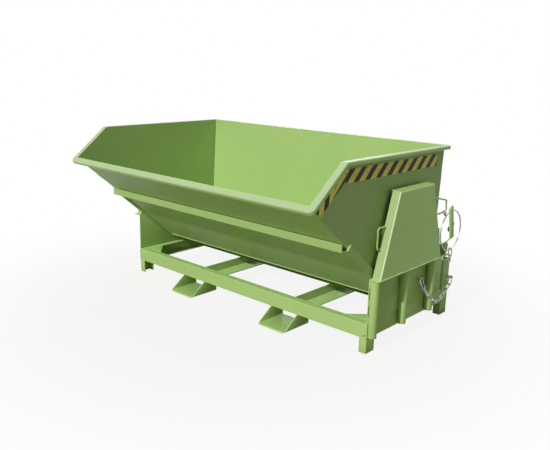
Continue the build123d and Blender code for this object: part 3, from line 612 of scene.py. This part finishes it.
@dataclass
class NodeDress:
    """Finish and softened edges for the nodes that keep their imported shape."""

    finishes: Finishes
    smooth_angle: float = math.radians(28)
    merge_distance: float = 1e-5
    flat_angle: float = math.radians(0.4)
    edge_angle: float = math.radians(40)
    edge_segments: int = 2
    shading: bpy.types.NodeTree = field(init=False)

    def __post_init__(self) -> None:
        """Build the shading group once for all nodes."""
        self.shading = smooth_shading_group(self.smooth_angle)

    def dress(self, slot: Slot, edge: Edge, *names: str, finish: Optional[Material] = None,
              level: bool = False) -> None:
        """Give some nodes their finish.

        Args:
            slot: Slot of the finish.
            edge: Rounding of their edges.
            names: The nodes.
            finish: Material that takes the place of the slot's own.
            level: Whether broad faces keep their own normals beside the rounded edges.
        """
        for name in names:
            piece = NODES[name]
            piece.data.materials.clear()
            piece.data.materials.append(finish or self.finishes.of(slot))
            weld = piece.modifiers.new("join_triangles", "WELD")
            weld.merge_threshold = self.merge_distance
            if edge is not Edge.SHARP:
                self.round_edges(piece, edge)
            shade = piece.modifiers.new("smooth_shading", "NODES")
            shade.node_group = self.shading
            if level:
                broad = piece.modifiers.new("broad_faces", "WEIGHTED_NORMAL")
                broad.mode = "FACE_AREA"
                broad.keep_sharp = True
            LOG.info("node %s: %s, edge %.1f mm", name, slot.value, edge.value)

    def round_edges(self, piece: bpy.types.Object, edge: Edge) -> None:
        """Join flat triangles to faces and round the edges between them.

        Args:
            piece: Object of the node.
            edge: The rounding.
        """
        flat = piece.modifiers.new("flat_faces", "DECIMATE")
        flat.decimate_type = "DISSOLVE"
        flat.angle_limit = self.flat_angle
        soft = piece.modifiers.new("soft_edges", "BEVEL")
        soft.width = edge.value * MM
        soft.segments = self.edge_segments
        soft.limit_method = "ANGLE"
        soft.angle_limit = self.edge_angle
        soft.use_clamp_overlap = True


@dataclass(frozen=True)
class Seam:
    """Straight weld between two points, in millimetres, in one run or in equal dashes."""

    start: Triple
    end: Triple
    outward: Triple
    width: float = 6.0
    dashes: int = 1
    dash: float = 0.0

    def other_end(self) -> "Seam":
        """The same weld on the left end of the hopper."""
        flip = [(-x, y, z) for x, y, z in (self.start, self.end, self.outward)]
        return Seam(*flip, self.width, self.dashes, self.dash)


@dataclass(frozen=True)
class RingSeam:
    """Weld round a bar or tube, in millimetres."""

    middle: Triple
    axis: Triple
    radius: float
    width: float = 5.0

    def other_end(self) -> "RingSeam":
        """The same weld on the left end of the hopper."""
        flip = [(-x, y, z) for x, y, z in (self.middle, self.axis)]
        return RingSeam(*flip, self.radius, self.width)


Weld = Union[Seam, RingSeam]


@dataclass
class WeldShop:
    """Models weld beads as rows of overlapping ripples and paints them with the steel round them.

    A ripple's pitch, length and height are shares of the bead's width. The wander is in millimetres, and
    its scale in metres.
    """

    finishes: Finishes
    ripple_sides: int = 8
    ripple_rings: int = 6
    ripple_pitch: float = 0.48
    ripple_length: float = 0.72
    ripple_height: float = 0.62
    ripple_tilt: float = math.radians(14)
    least_ripples: int = 2
    least_round_ripples: int = 6
    wander: float = 0.9
    wander_scale: float = 0.012
    grain: bpy.types.Texture = field(init=False)

    def __post_init__(self) -> None:
        """Make the texture that lets the beads wander."""
        self.grain = bpy.data.textures.new("weld_wander", "CLOUDS")
        self.grain.noise_scale = self.wander_scale

    def ripple(self, width: float) -> bpy.types.Object:
        """Model one ripple, a flattened drop whose length lies along X.

        Args:
            width: Width of the bead in metres.

        Returns:
            The new piece, at the origin.
        """
        bpy.ops.object.select_all(action="DESELECT")
        bpy.ops.mesh.primitive_uv_sphere_add(segments=self.ripple_sides, ring_count=self.ripple_rings,
                                             radius=width / 2, location=ZERO)
        piece = bpy.context.object
        bpy.ops.object.mode_set(mode="EDIT")
        bpy.ops.mesh.select_all(action="SELECT")
        bpy.ops.transform.resize(value=(self.ripple_length, 1.0, self.ripple_height))
        bpy.ops.transform.rotate(value=self.ripple_tilt, orient_axis="Y", center_override=ZERO)
        bpy.ops.object.mode_set(mode="OBJECT")
        return piece

    def repeat(self, piece: bpy.types.Object, count: int, pitch: float) -> None:
        """Repeat a piece along X.

        Args:
            piece: The piece, which is the active object.
            count: Number of copies, itself included.
            pitch: Distance between copies in metres.
        """
        row = piece.modifiers.new("row", "ARRAY")
        row.count = count
        row.use_relative_offset = False
        row.use_constant_offset = True
        row.constant_offset_displace = (pitch, 0.0, 0.0)
        bpy.ops.object.modifier_apply(modifier=row.name)

    def straight(self, seam: Seam) -> bpy.types.Object:
        """Model a straight weld.

        Args:
            seam: Its place and size.

        Returns:
            The new piece, in its place.
        """
        start, end = place(*seam.start), place(*seam.end)
        length = (end - start).length
        width = seam.width * MM
        run = seam.dash * MM if seam.dashes > 1 else length
        piece = self.ripple(width)
        steps = max(self.least_ripples, round((run - width) / (width * self.ripple_pitch)) + 1)
        self.repeat(piece, steps, (run - width * self.ripple_length) / (steps - 1))
        if seam.dashes > 1:
            self.repeat(piece, seam.dashes, (length - run) / (seam.dashes - 1))
        along = (end - start).normalized()
        out = Vector(seam.outward)
        out = (out - along * out.dot(along)).normalized()
        turn = Matrix((along, out.cross(along), out)).transposed().to_4x4()
        inset = along * width * self.ripple_length / 2
        return self.settle(piece, Matrix.Translation(start + inset) @ turn)

    def round_bar(self, seam: RingSeam) -> bpy.types.Object:
        """Model a weld round a bar.

        Args:
            seam: Its place and size.

        Returns:
            The new piece, in its place.
        """
        width = seam.width * MM
        radius = seam.radius * MM
        piece = self.ripple(width)
        around = 2 * math.pi * radius
        steps = max(self.least_round_ripples, round(around / (width * self.ripple_pitch)))
        bpy.ops.object.mode_set(mode="EDIT")
        bpy.ops.mesh.select_all(action="SELECT")
        bpy.ops.transform.rotate(value=math.pi / 2, orient_axis="Z", center_override=ZERO)
        bpy.ops.transform.translate(value=(radius, 0.0, 0.0))
        bpy.ops.mesh.spin(steps=steps - 1, angle=2 * math.pi * (steps - 1) / steps, dupli=True,
                          center=ZERO, axis=UP)
        bpy.ops.object.mode_set(mode="OBJECT")
        turn = Vector(seam.axis).to_track_quat("Z", "Y").to_matrix().to_4x4()
        return self.settle(piece, Matrix.Translation(place(*seam.middle)) @ turn)

    def settle(self, piece: bpy.types.Object, where: Matrix) -> bpy.types.Object:
        """Put a bead in its place and keep the place in its mesh.

        Args:
            piece: The bead, the only selected object.
            where: Its place and turn.

        Returns:
            The same bead.
        """
        piece.matrix_world = where
        bpy.ops.object.transform_apply(location=True, rotation=True, scale=True)
        uneven = piece.modifiers.new("uneven", "DISPLACE")
        uneven.texture = self.grain
        uneven.texture_coords = "LOCAL"
        uneven.strength = self.wander * MM
        bpy.ops.object.modifier_apply(modifier=uneven.name)
        return piece

    def bead(self, seam: Weld) -> bpy.types.Object:
        """Model a weld of either kind."""
        return self.round_bar(seam) if isinstance(seam, RingSeam) else self.straight(seam)

    def collect(self, name: str, body: Body, seams: Sequence[Weld], both_ends: bool = False) -> None:
        """Model a group of welds as one piece.

        Args:
            name: Name of the piece.
            body: Body that it moves with.
            seams: Straight and round welds.
            both_ends: Whether the left end has the same welds.
        """
        if both_ends:
            seams = [*seams, *(seam.other_end() for seam in seams)]
        beads = [self.bead(seam) for seam in seams]
        bpy.ops.object.select_all(action="DESELECT")
        for bead in beads:
            bead.select_set(True)
        bpy.context.view_layer.objects.active = beads[0]
        if len(beads) > 1:
            bpy.ops.object.join()
        piece = bpy.context.view_layer.objects.active
        piece.name = piece.data.name = name
        bpy.ops.object.shade_smooth()
        piece.data.materials.append(self.finishes.paint)
        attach(piece, body.value)
        LOG.info("piece %s: %d welds, %d faces", name, len(seams), len(piece.data.polygons))


@dataclass
class SubAssembly:
    """Some of the hopper's pieces, with what dresses and welds them.

    Sizes are in millimetres. A bead is its width, its number of dashes and their length.
    """

    dress: NodeDress
    welds: WeldShop


@dataclass
class BaseFrame(SubAssembly):
    """Rails, legs, gussets, fork pockets and the rests of the trough.

    The gaps are how far a bead stops short of what it runs to.
    """

    depth: float = 887.0
    rail_flange: float = 47.0
    leg_depth: float = 80.0
    pocket_middle: float = 406.0
    pocket_half: float = 106.0
    pocket_width: float = 7.0
    gusset_side: float = 168.0
    gusset_front: float = 820.0
    angle_wall: float = 6.0
    rest_back: float = 680.0
    mitre_gap: float = 2.0
    corner_gap: float = 3.0
    edge_gap: float = 4.0
    rest_gap: float = 8.0

    def build(self) -> None:
        """Dress the nodes and add the welds."""
        self.dress.dress(Slot.PAINT, Edge.PLATE, "front_rail", level=True)
        paired = end_names("side_rail", "front_leg", "rear_leg", "fork_angle", "front_fork_loop",
                           "rear_fork_loop")
        self.dress.dress(Slot.PAINT, Edge.PLATE, "rear_rail", "corner_gussets", "rest_brackets", *paired)
        self.corner_welds()
        self.pocket_welds()

    def corner_welds(self) -> None:
        """Weld the corners of the frame, the legs, the gussets and the rests."""
        end, low, top = BASE_END, RAIL_LOW, RAIL_TOP
        back, inner, rest = self.depth, self.rail_flange, self.rest_back
        flange, leg = end - inner, back - self.leg_depth
        mitre, corner, edge = self.mitre_gap, self.corner_gap, self.edge_gap
        self.welds.collect("frame_corner_welds", Body.BASE, [
            Seam((end - mitre, mitre, top), (flange + mitre, inner - mitre, top), UP),
            Seam((end, 0, low + corner), (end, 0, top - corner), (1, -1, 0)),
            Seam((flange + corner, 0, low), (end - corner, 0, low), FRONT),
            Seam((end, edge, low), (end, self.leg_depth - edge, low), RIGHT),
            Seam((end, leg, low + corner), (end, leg, top - corner), RIGHT),
            Seam((flange, back, low + corner), (flange, back, top - corner), BACK),
            Seam((flange, inner + corner, top), (flange, self.gusset_side - edge, top), UP),
            Seam((flange - corner, inner, top), (self.gusset_front + edge, inner, top), UP),
            Seam((flange + edge, rest, top), (end - self.rest_gap, rest, top), (0, 1, 1)),
        ], both_ends=True)

    def pocket_welds(self) -> None:
        """Weld the fork loops and the fork angles to the rails."""
        seams: List[Weld] = []
        low, level = RAIL_LOW, RAIL_LOW + self.angle_wall
        near, far = self.edge_gap, self.rail_flange - self.corner_gap
        runs = ((near, far), (self.depth - far, self.depth - near))
        for middle in (-self.pocket_middle, self.pocket_middle):
            for start, end in runs:
                for side in (-1, 1):
                    x = middle + side * self.pocket_half
                    seams.append(Seam((x, start, low), (x, end, low), (side, 0, -1), self.pocket_width))
            left = middle + self.angle_wall + self.mitre_gap
            right = middle + self.pocket_half - self.mitre_gap
            for y in (self.rail_flange, self.depth - self.rail_flange):
                seams.append(Seam((left, y, level), (right, y, level), UP))
        self.welds.collect("fork_pocket_welds", Body.BASE, seams)


@dataclass
class EndPanels(SubAssembly):
    """End panels with their tubes and the base plates of the stands."""

    plate_foot: float = 419.0
    tubes: Tuple[float, ...] = (16.0, 311.0, 606.0)
    tube_radius: float = 24.0
    tube_bead: Bead = (7.0, 3, 38.0)
    top_width: float = 6.0
    groove: float = 12.5
    groove_depth: float = 1.5
    groove_lean: float = 0.6
    groove_gap: float = 6.0
    edge_runs: Tuple[Pair, ...] = ((60.0, 285.0), (345.0, 575.0), (640.0, 745.0))
    edge_bead: Bead = (7.0, 2, 48.0)

    def build(self) -> None:
        """Dress the nodes and add the welds."""
        self.dress.dress(Slot.PAINT, Edge.SHEET, *end_names("end_panel"))
        self.dress.dress(Slot.PAINT, Edge.PLATE, *end_names("base_plate"))
        self.dress.dress(Slot.PAINT, Edge.FINE, *end_names("panel_tubes"))
        front, rest = self.tube_seams(self.tubes[:1]), self.tube_seams(self.tubes[1:])
        self.welds.collect("panel_tube_welds", Body.BASE,
                           front + rest + [seam.other_end() for seam in rest])
        x, z = BASE_END, self.plate_foot
        edges = [Seam((x, start, z), (x, end, z), (1, 0, -1), *self.edge_bead)
                 for start, end in self.edge_runs]
        self.welds.collect("panel_edge_welds", Body.BASE, edges, both_ends=True)

    def tube_seams(self, tubes: Sequence[float]) -> List[Weld]:
        """Welds of some tubes on the right end.

        Args:
            tubes: Distances of the tubes behind the front rail's face.

        Returns:
            Two rows of dashes along each tube and a weld round its top.
        """
        seams: List[Weld] = []
        x = BASE_END + self.groove_depth
        low, high = RAIL_TOP + self.groove_gap, self.plate_foot - self.groove_gap
        for tube in tubes:
            for side in (-1, 1):
                y = tube + side * self.groove
                outward = (self.groove_lean, side, 0)
                seams.append(Seam((x, y, low), (x, y, high), outward, *self.tube_bead))
            top = (BASE_END + self.tube_radius, tube, self.plate_foot)
            seams.append(RingSeam(top, UP, self.tube_radius, self.top_width))
        return seams


@dataclass
class Stands(SubAssembly):
    """Stands with their round-bar loops and the bearings of the trough."""

    face: float = 1054.0
    inner: float = 1003.0
    front: float = 17.5
    rear: float = 662.5
    side_proud: float = 0.5
    side_gap: float = 24.0
    side_bead: Bead = (6.0, 5, 62.0)
    inner_gap: float = 4.0
    outer_gap: float = 6.0
    end_width: float = 7.0
    loop_radius: float = 4.5
    loop_rise: float = 0.3
    front_loop: Tuple[Triple, Triple] = ((1009.0, 103.0, 697.0), (1009.0, 66.5, 581.0))
    rear_loop: Tuple[Triple, Triple] = ((1044.0, 545.5, 797.0), (1044.0, 577.9, 694.0))

    def build(self) -> None:
        """Dress the nodes and add the welds."""
        # The stands take the paint with painted light and shade and the painted bend highlight
        painted_light = self.dress.finishes.painted_light
        self.dress.dress(Slot.PAINT, Edge.FINE, *end_names("stand"), finish=painted_light, level=True)
        self.dress.dress(Slot.PAINT, Edge.SHARP, *end_names("stand_loops"))
        self.dress.dress(Slot.PAINT, Edge.PLATE, "bearing_plates")
        self.dress.dress(Slot.STEEL, Edge.SHEET, "pivot_bushes")
        x, foot, front, rear = self.face + self.side_proud, PLATE_TOP, self.front, self.rear
        first, last = front + self.side_gap, rear - self.side_gap
        left, right = self.inner + self.inner_gap, self.face - self.outer_gap
        seams: List[Weld] = [
            Seam((x, first, foot), (x, last, foot), (1, 0, 1), *self.side_bead),
            Seam((left, front, foot), (right, front, foot), (0, -1, 1), self.end_width),
            Seam((left, rear, foot), (right, rear, foot), (0, 1, 1), self.end_width),
        ]
        for spots, side in ((self.front_loop, -1), (self.rear_loop, 1)):
            seams += [RingSeam(spot, (0, side, self.loop_rise), self.loop_radius) for spot in spots]
        self.welds.collect("stand_welds", Body.BASE, seams, both_ends=True)


@dataclass
class Trough(SubAssembly):
    """Sheet trough with its rim, stiffeners, tape and trunnions.

    A place's two numbers are behind the front rail's face and above the ground. A run on the slope is in
    shares of it from the lip to the bottom.
    """

    wall: float = 978.0
    inside: float = 974.0
    sheet: float = 4.0
    lip: Pair = TROUGH_LIP
    bottom_front: Pair = (284.0, 232.0)
    back_foot: Pair = (690.0, 232.0)
    back_top: Pair = (730.0, 1073.0)
    slope_normal: Pair = (0.643, 0.766)
    pivot: Pair = (170.0, 650.0)
    hub_radius: float = 45.0
    hub_width: float = 6.0
    back_run: Pair = (930.0, 280.0)
    back_tacks: Bead = (8.0, 5, 30.0)
    slope_run: Pair = (0.03, 0.96)
    slope_tacks: Bead = (8.0, 7, 30.0)
    bottom_run: Pair = (330.0, 660.0)
    bottom_tacks: Bead = (8.0, 3, 30.0)
    stiffener_foot: Pair = (-167.3, 611.0)
    stiffener_out: Triple = (0, -0.64, -1.77)
    edge_angle: Pair = (415.0, 232.0)
    stiffener_gap: float = 30.0
    stiffener_bead: Bead = (6.0, 9, 52.0)
    foot_row: float = 0.988
    foot_out: Triple = (0, -0.97, 0.25)
    foot_width: float = 12.5
    strip_inset: float = 27.0
    strip_run: Pair = (0.44, 0.95)
    strip_bead: Bead = (6.0, 4, 46.0)
    slope_edge: Pair = (0.05, 0.95)
    slope_bead: Bead = (5.0, 7, 60.0)
    back_edge: Tuple[Pair, Pair] = ((730.0, 1040.0), (692.5, 280.0))
    back_bead: Bead = (5.0, 6, 60.0)

    def build(self) -> None:
        """Dress the nodes and add the welds."""
        finishes = self.dress.finishes
        self.dress.dress(Slot.PAINT, Edge.SHARP, "back_wall", "bottom_plate", "slope_wall")
        # End walls take the darker paint, as painted shade
        self.dress.dress(Slot.PAINT, Edge.SHARP, *end_names("end_wall"), finish=finishes.end)
        # Rims take the paint with a painted sheen on upward faces
        self.dress.dress(Slot.PAINT, Edge.SHARP, "front_rim", "back_rim", *end_names("rim"),
                         finish=finishes.rim)
        # The left slope strip takes the lighter paint, as painted light over the shade along its lower
        # edge
        self.dress.dress(Slot.PAINT, Edge.SHEET, "left_slope_strip", finish=finishes.painted_light)
        # The right slope strip and the stiffener take the darker paint, as painted shade
        self.dress.dress(Slot.PAINT, Edge.SHEET, "right_slope_strip", "slope_stiffener",
                         finish=finishes.end, level=True)
        self.dress.dress(Slot.PAINT, Edge.SHEET, "bottom_edge_angle", *end_names("trunnion"))
        self.dress.dress(Slot.STEEL, Edge.FINE, "pivot_washers")
        self.dress.dress(Slot.STEEL, Edge.SHEET, "catch_stud")
        self.dress.dress(Slot.TAPE, Edge.SHARP, *end_names("hazard_tape"))
        self.inner_welds()
        self.outer_welds()

    def slope_point(self, share: float, offset: float = 0.0) -> Pair:
        """Point on the slope's section.

        Args:
            share: Place from the lip (0) to the bottom (1).
            offset: Distance towards the inside.

        Returns:
            The point behind the front rail's face and above the ground.
        """
        y, z = self.lip
        dy, dz = self.bottom_front[0] - y, self.bottom_front[1] - z
        length = math.hypot(dy, dz)
        return (y + share * dy - offset * dz / length, z + share * dz + offset * dy / length)

    def inner_welds(self) -> None:
        """Tack the sheet to the end walls on the inside."""
        top, foot = self.back_top, self.back_foot
        lean = (top[0] - foot[0]) / (top[1] - foot[1])
        back = [(self.inside, foot[0] - self.sheet + lean * (z - foot[1]), z) for z in self.back_run]
        slope = [(self.inside, *self.slope_point(share, self.sheet)) for share in self.slope_run]
        bottom = [(self.inside, y, self.bottom_front[1] + self.sheet) for y in self.bottom_run]
        self.welds.collect("trough_inner_welds", Body.TROUGH, [
            Seam(*back, (-1, -1, 0), *self.back_tacks),
            Seam(*slope, (-1, *self.slope_normal), *self.slope_tacks),
            Seam(*bottom, (-1, 0, 1), *self.bottom_tacks),
        ], both_ends=True)

    def outer_welds(self) -> None:
        """Weld the stiffeners, the slope's foot, strips and hubs to the outside of the trough."""
        x = self.inside - self.stiffener_gap
        rows = ((self.stiffener_foot, self.stiffener_out), (self.edge_angle, (0, 1, -1)))
        self.welds.collect("stiffener_welds", Body.TROUGH, [
            Seam((-x, *row), (x, *row), outward, *self.stiffener_bead) for row, outward in rows
        ])
        x = self.inside - self.sheet / 2
        row = self.slope_point(self.foot_row)
        foot = Seam((-x, *row), (x, *row), self.foot_out, self.foot_width)
        self.welds.collect("slope_foot_weld", Body.TROUGH, [foot])
        x = self.inside + self.sheet / 2
        normal_y, normal_z = self.slope_normal
        strip = [(self.wall, *self.slope_point(share, self.strip_inset)) for share in self.strip_run]
        slope = [(x, *self.slope_point(share)) for share in self.slope_edge]
        back = [(x, *spot) for spot in self.back_edge]
        self.welds.collect("end_wall_welds", Body.TROUGH, [
            Seam(*strip, (1, normal_y, normal_z), *self.strip_bead),
            Seam(*slope, (0, -normal_y, -normal_z), *self.slope_bead),
            Seam(*back, BACK, *self.back_bead),
            RingSeam((self.wall, *self.pivot), RIGHT, self.hub_radius, self.hub_width),
        ], both_ends=True)


@dataclass
class LockLever(SubAssembly):
    """Lock lever with its shaft, lug, hook and the rubber peg."""

    pivot: Pair = (728.0, 447.0)
    outer: float = 1043.0
    hook: float = 992.0
    shaft_radius: float = 8.0
    lug_front: float = 716.0
    lug_side: float = 1031.0
    lug_gap: float = 2.0
    lug_run: Pair = (719.0, 755.0)

    def build(self) -> None:
        """Dress the nodes and add the welds."""
        self.dress.dress(Slot.PAINT, Edge.BAR, "lock_lever", "latch_hook", "lever_lug")
        self.dress.dress(Slot.STEEL, Edge.SHEET, "lock_shaft")
        self.dress.dress(Slot.RUBBER, Edge.MOULDED, "lever_peg")
        rings = [RingSeam((x, *self.pivot), RIGHT, self.shaft_radius) for x in (self.outer, self.hook)]
        self.welds.collect("lever_welds", Body.LEVER, rings)
        x, y, foot = self.lug_side, self.lug_front, PLATE_TOP
        start, end = self.lug_run
        self.welds.collect("lever_lug_welds", Body.BASE, [
            Seam((BASE_END, y, foot), (x - self.lug_gap, y, foot), (0, -1, 1)),
            Seam((x, start, foot), (x, end, foot), (1, 0, 1)),
        ])


@dataclass
class ChainGear(SubAssembly):
    """Safety chain with its hook and staple, the pull ring with its links, and the rubber rests."""

    hook: Pair = (494.0, 312.0)
    hook_radius: float = 4.5
    staple: Tuple[Pair, Pair] = ((858.0, 240.0), (886.0, 240.0))
    staple_radius: float = 4.0

    def build(self) -> None:
        """Dress the nodes and add the welds."""
        self.dress.dress(Slot.ZINC, Edge.SHARP, "safety_chain", "snap_hook", "snap_gate", "pull_ring",
                         "ring_chain")
        self.dress.dress(Slot.PAINT, Edge.SHARP, "chain_hook", "chain_staple")
        self.dress.dress(Slot.RUBBER, Edge.MOULDED, "rest_buffers")
        feet = [RingSeam((BASE_END, *self.hook), RIGHT, self.hook_radius)]
        feet += [RingSeam((BASE_END, *spot), RIGHT, self.staple_radius) for spot in self.staple]
        self.welds.collect("chain_fitting_welds", Body.BASE, feet)


@dataclass
class Studio:
    """Floor, lights and the camera of the photograph's viewpoint.

    Places and the sensor are in millimetres, angles in degrees, the focal length and the image in pixels,
    and other lengths in metres.
    """

    eye: Triple = (2815.0, -2769.6, 1534.3)
    yaw: float = 42.013
    pitch: float = 14.151
    roll: float = 1.3625
    focal_px: float = 656.04
    image_width: float = 550.0
    sensor: float = 36.0
    view_limit: float = 100.0
    aim: Triple = (0.0, 200.0, 500.0)
    key_azimuth: float = 3.7
    key_elevation: float = 33.0
    key_angle: float = 1.5
    key_strength: float = 2.75
    key_distance: float = 8.0
    rear_place: Triple = (-3800.0, 5200.0, 2800.0)
    rear_size: float = 3.0
    rear_watts: float = 60.0
    top_place: Triple = (1800.0, 900.0, 5200.0)
    top_size: float = 3.5
    top_watts: float = 70.0
    fill: float = 0.125
    floor_radius: float = 14.0
    floor_sides: int = 96
    floor_tone: Triple = (0.40, 0.445, 0.285)
    floor_white: float = 0.88
    floor_gloss: float = 0.12
    fade_span: Pair = (0.9, 2.6)

    def hang(self, name: str, data: bpy.types.ID, where: Matrix) -> bpy.types.Object:
        """Add a camera or a lamp to the scene.

        Args:
            name: Name of the object.
            data: The camera or the lamp.
            where: Its place and turn.

        Returns:
            The new object.
        """
        thing = bpy.data.objects.new(name, data)
        thing.matrix_world = where
        bpy.context.scene.collection.objects.link(thing)
        return thing

    def camera(self) -> None:
        """Place the camera."""
        data = bpy.data.cameras.new("photo_camera")
        data.sensor_fit = "HORIZONTAL"
        data.sensor_width = self.sensor
        data.lens = self.focal_px * self.sensor / self.image_width
        data.clip_end = self.view_limit
        yaw, roll = math.radians(self.yaw), math.radians(self.roll)
        back = direction(self.yaw, self.pitch)
        level = Vector((math.cos(yaw), math.sin(yaw), 0.0))
        upright = back.cross(level)
        right = level * math.cos(roll) + upright * math.sin(roll)
        up = upright * math.cos(roll) - level * math.sin(roll)
        turn = Matrix((right, up, back)).transposed().to_4x4()
        where = Matrix.Translation(place(*self.eye)) @ turn
        bpy.context.scene.camera = self.hang("photo_camera", data, where)

    def softbox(self, name: str, spot: Triple, size: float, watts: float) -> None:
        """Hang a round soft light that points at the hopper.

        Args:
            name: Name of the light.
            spot: Its place in millimetres.
            size: Its diameter in metres.
            watts: Its power.
        """
        data = bpy.data.lights.new(name, "AREA")
        data.shape = "DISK"
        data.size = size
        data.energy = watts
        here = place(*spot)
        turn = (place(*self.aim) - here).to_track_quat("-Z", "Y")
        self.hang(name, data, Matrix.Translation(here) @ turn.to_matrix().to_4x4())

    def key(self) -> None:
        """Set the key light with parallel rays, in front and a little to the right."""
        data = bpy.data.lights.new("far_key", "SUN")
        data.energy = self.key_strength
        data.angle = math.radians(self.key_angle)
        towards = direction(self.key_azimuth, self.key_elevation)
        turn = towards.to_track_quat("Z", "Y").to_matrix().to_4x4()
        self.hang("far_key", data, Matrix.Translation(towards * self.key_distance) @ turn)

    def lights(self) -> None:
        """Set the key light, the weak lights behind and above, and the even fill of the world."""
        self.key()
        self.softbox("rear_softbox", self.rear_place, self.rear_size, self.rear_watts)
        self.softbox("top_softbox", self.top_place, self.top_size, self.top_watts)
        world = bpy.data.worlds.new("studio_world")
        bpy.context.scene.world = world
        world.use_nodes = True
        wiring = Wiring(world.node_tree)
        background = world.node_tree.nodes["Background"]
        background.inputs["Color"].default_value = WHITE
        path = wiring.add("ShaderNodeLightPath")
        seen = wiring.math("MAXIMUM", (path, "Is Camera Ray"), (path, "Is Glossy Ray"))
        seen = wiring.math("MAXIMUM", (seen, 0), (path, "Is Transmission Ray"))
        strength = wiring.ramp(seen, 0, RISING, (self.fill, 1.0))
        wiring.link(strength, "Result", background, "Strength")

    def fade(self, wiring: Wiring, distance: Node, near: float) -> Node:
        """Share of white on the floor, which grows to 1 away from the hopper.

        Args:
            wiring: Tree of the floor's material.
            distance: Node whose value is the distance from the middle.
            near: The share near the hopper.

        Returns:
            The map range node.
        """
        node = wiring.ramp(distance, "Value", self.fade_span, (near, 1.0))
        node.interpolation_type = "SMOOTHSTEP"
        return node

    def floor_material(self) -> Material:
        """Pale matt floor that fades into the white background and keeps the shadow.

        Returns:
            The material.
        """
        material = bpy.data.materials.new("studio_floor")
        material.use_nodes = True
        wiring = Wiring(material.node_tree)
        wiring.tree.nodes.clear()
        matt = wiring.add("ShaderNodeBsdfDiffuse", Color=(*self.floor_tone, 1.0))
        white = wiring.add("ShaderNodeEmission", Color=WHITE)
        distance = wiring.add("ShaderNodeVectorMath", operation="LENGTH")
        wiring.link(wiring.add("ShaderNodeTexCoord"), "Object", distance, 0)
        path = wiring.add("ShaderNodeLightPath")
        shiny = wiring.math("MAXIMUM", (path, "Is Glossy Ray"), (path, "Is Transmission Ray"))
        gloss = self.fade(wiring, distance, self.floor_gloss)
        mirrored = wiring.math("MULTIPLY", (shiny, 0), (gloss, "Result"))
        pale = self.fade(wiring, distance, self.floor_white)
        direct = wiring.math("MULTIPLY", (path, "Is Camera Ray"), (pale, "Result"))
        mix = wiring.add("ShaderNodeMixShader")
        factor = wiring.math("MAXIMUM", (direct, 0), (mirrored, 0))
        for index, source in enumerate((factor, matt, white)):
            wiring.link(source, 0, mix, index)
        wiring.link(mix, 0, wiring.add("ShaderNodeOutputMaterial"), "Surface")
        return material

    def floor(self) -> None:
        """Lay the round floor."""
        bpy.ops.object.select_all(action="DESELECT")
        bpy.ops.mesh.primitive_circle_add(vertices=self.floor_sides, radius=self.floor_radius,
                                          fill_type="NGON", location=ZERO)
        floor = bpy.context.object
        floor.name = "studio_floor"
        floor.data.materials.append(self.floor_material())

    def build(self) -> None:
        """Set up the whole studio."""
        bpy.context.scene.view_settings.view_transform = "Standard"
        self.floor()
        self.lights()
        self.camera()
        LOG.info("studio: floor, key light, softboxes, fill and camera")


def main() -> None:
    """Build the sub-assemblies in order, then the studio."""
    finishes = Finishes()
    dress = NodeDress(finishes)
    welds = WeldShop(finishes)
    for part in (BaseFrame, EndPanels, Stands, Trough, LockLever, ChainGear):
        part(dress, welds).build()
    Studio().build()


if __name__ == "__main__":
    main()
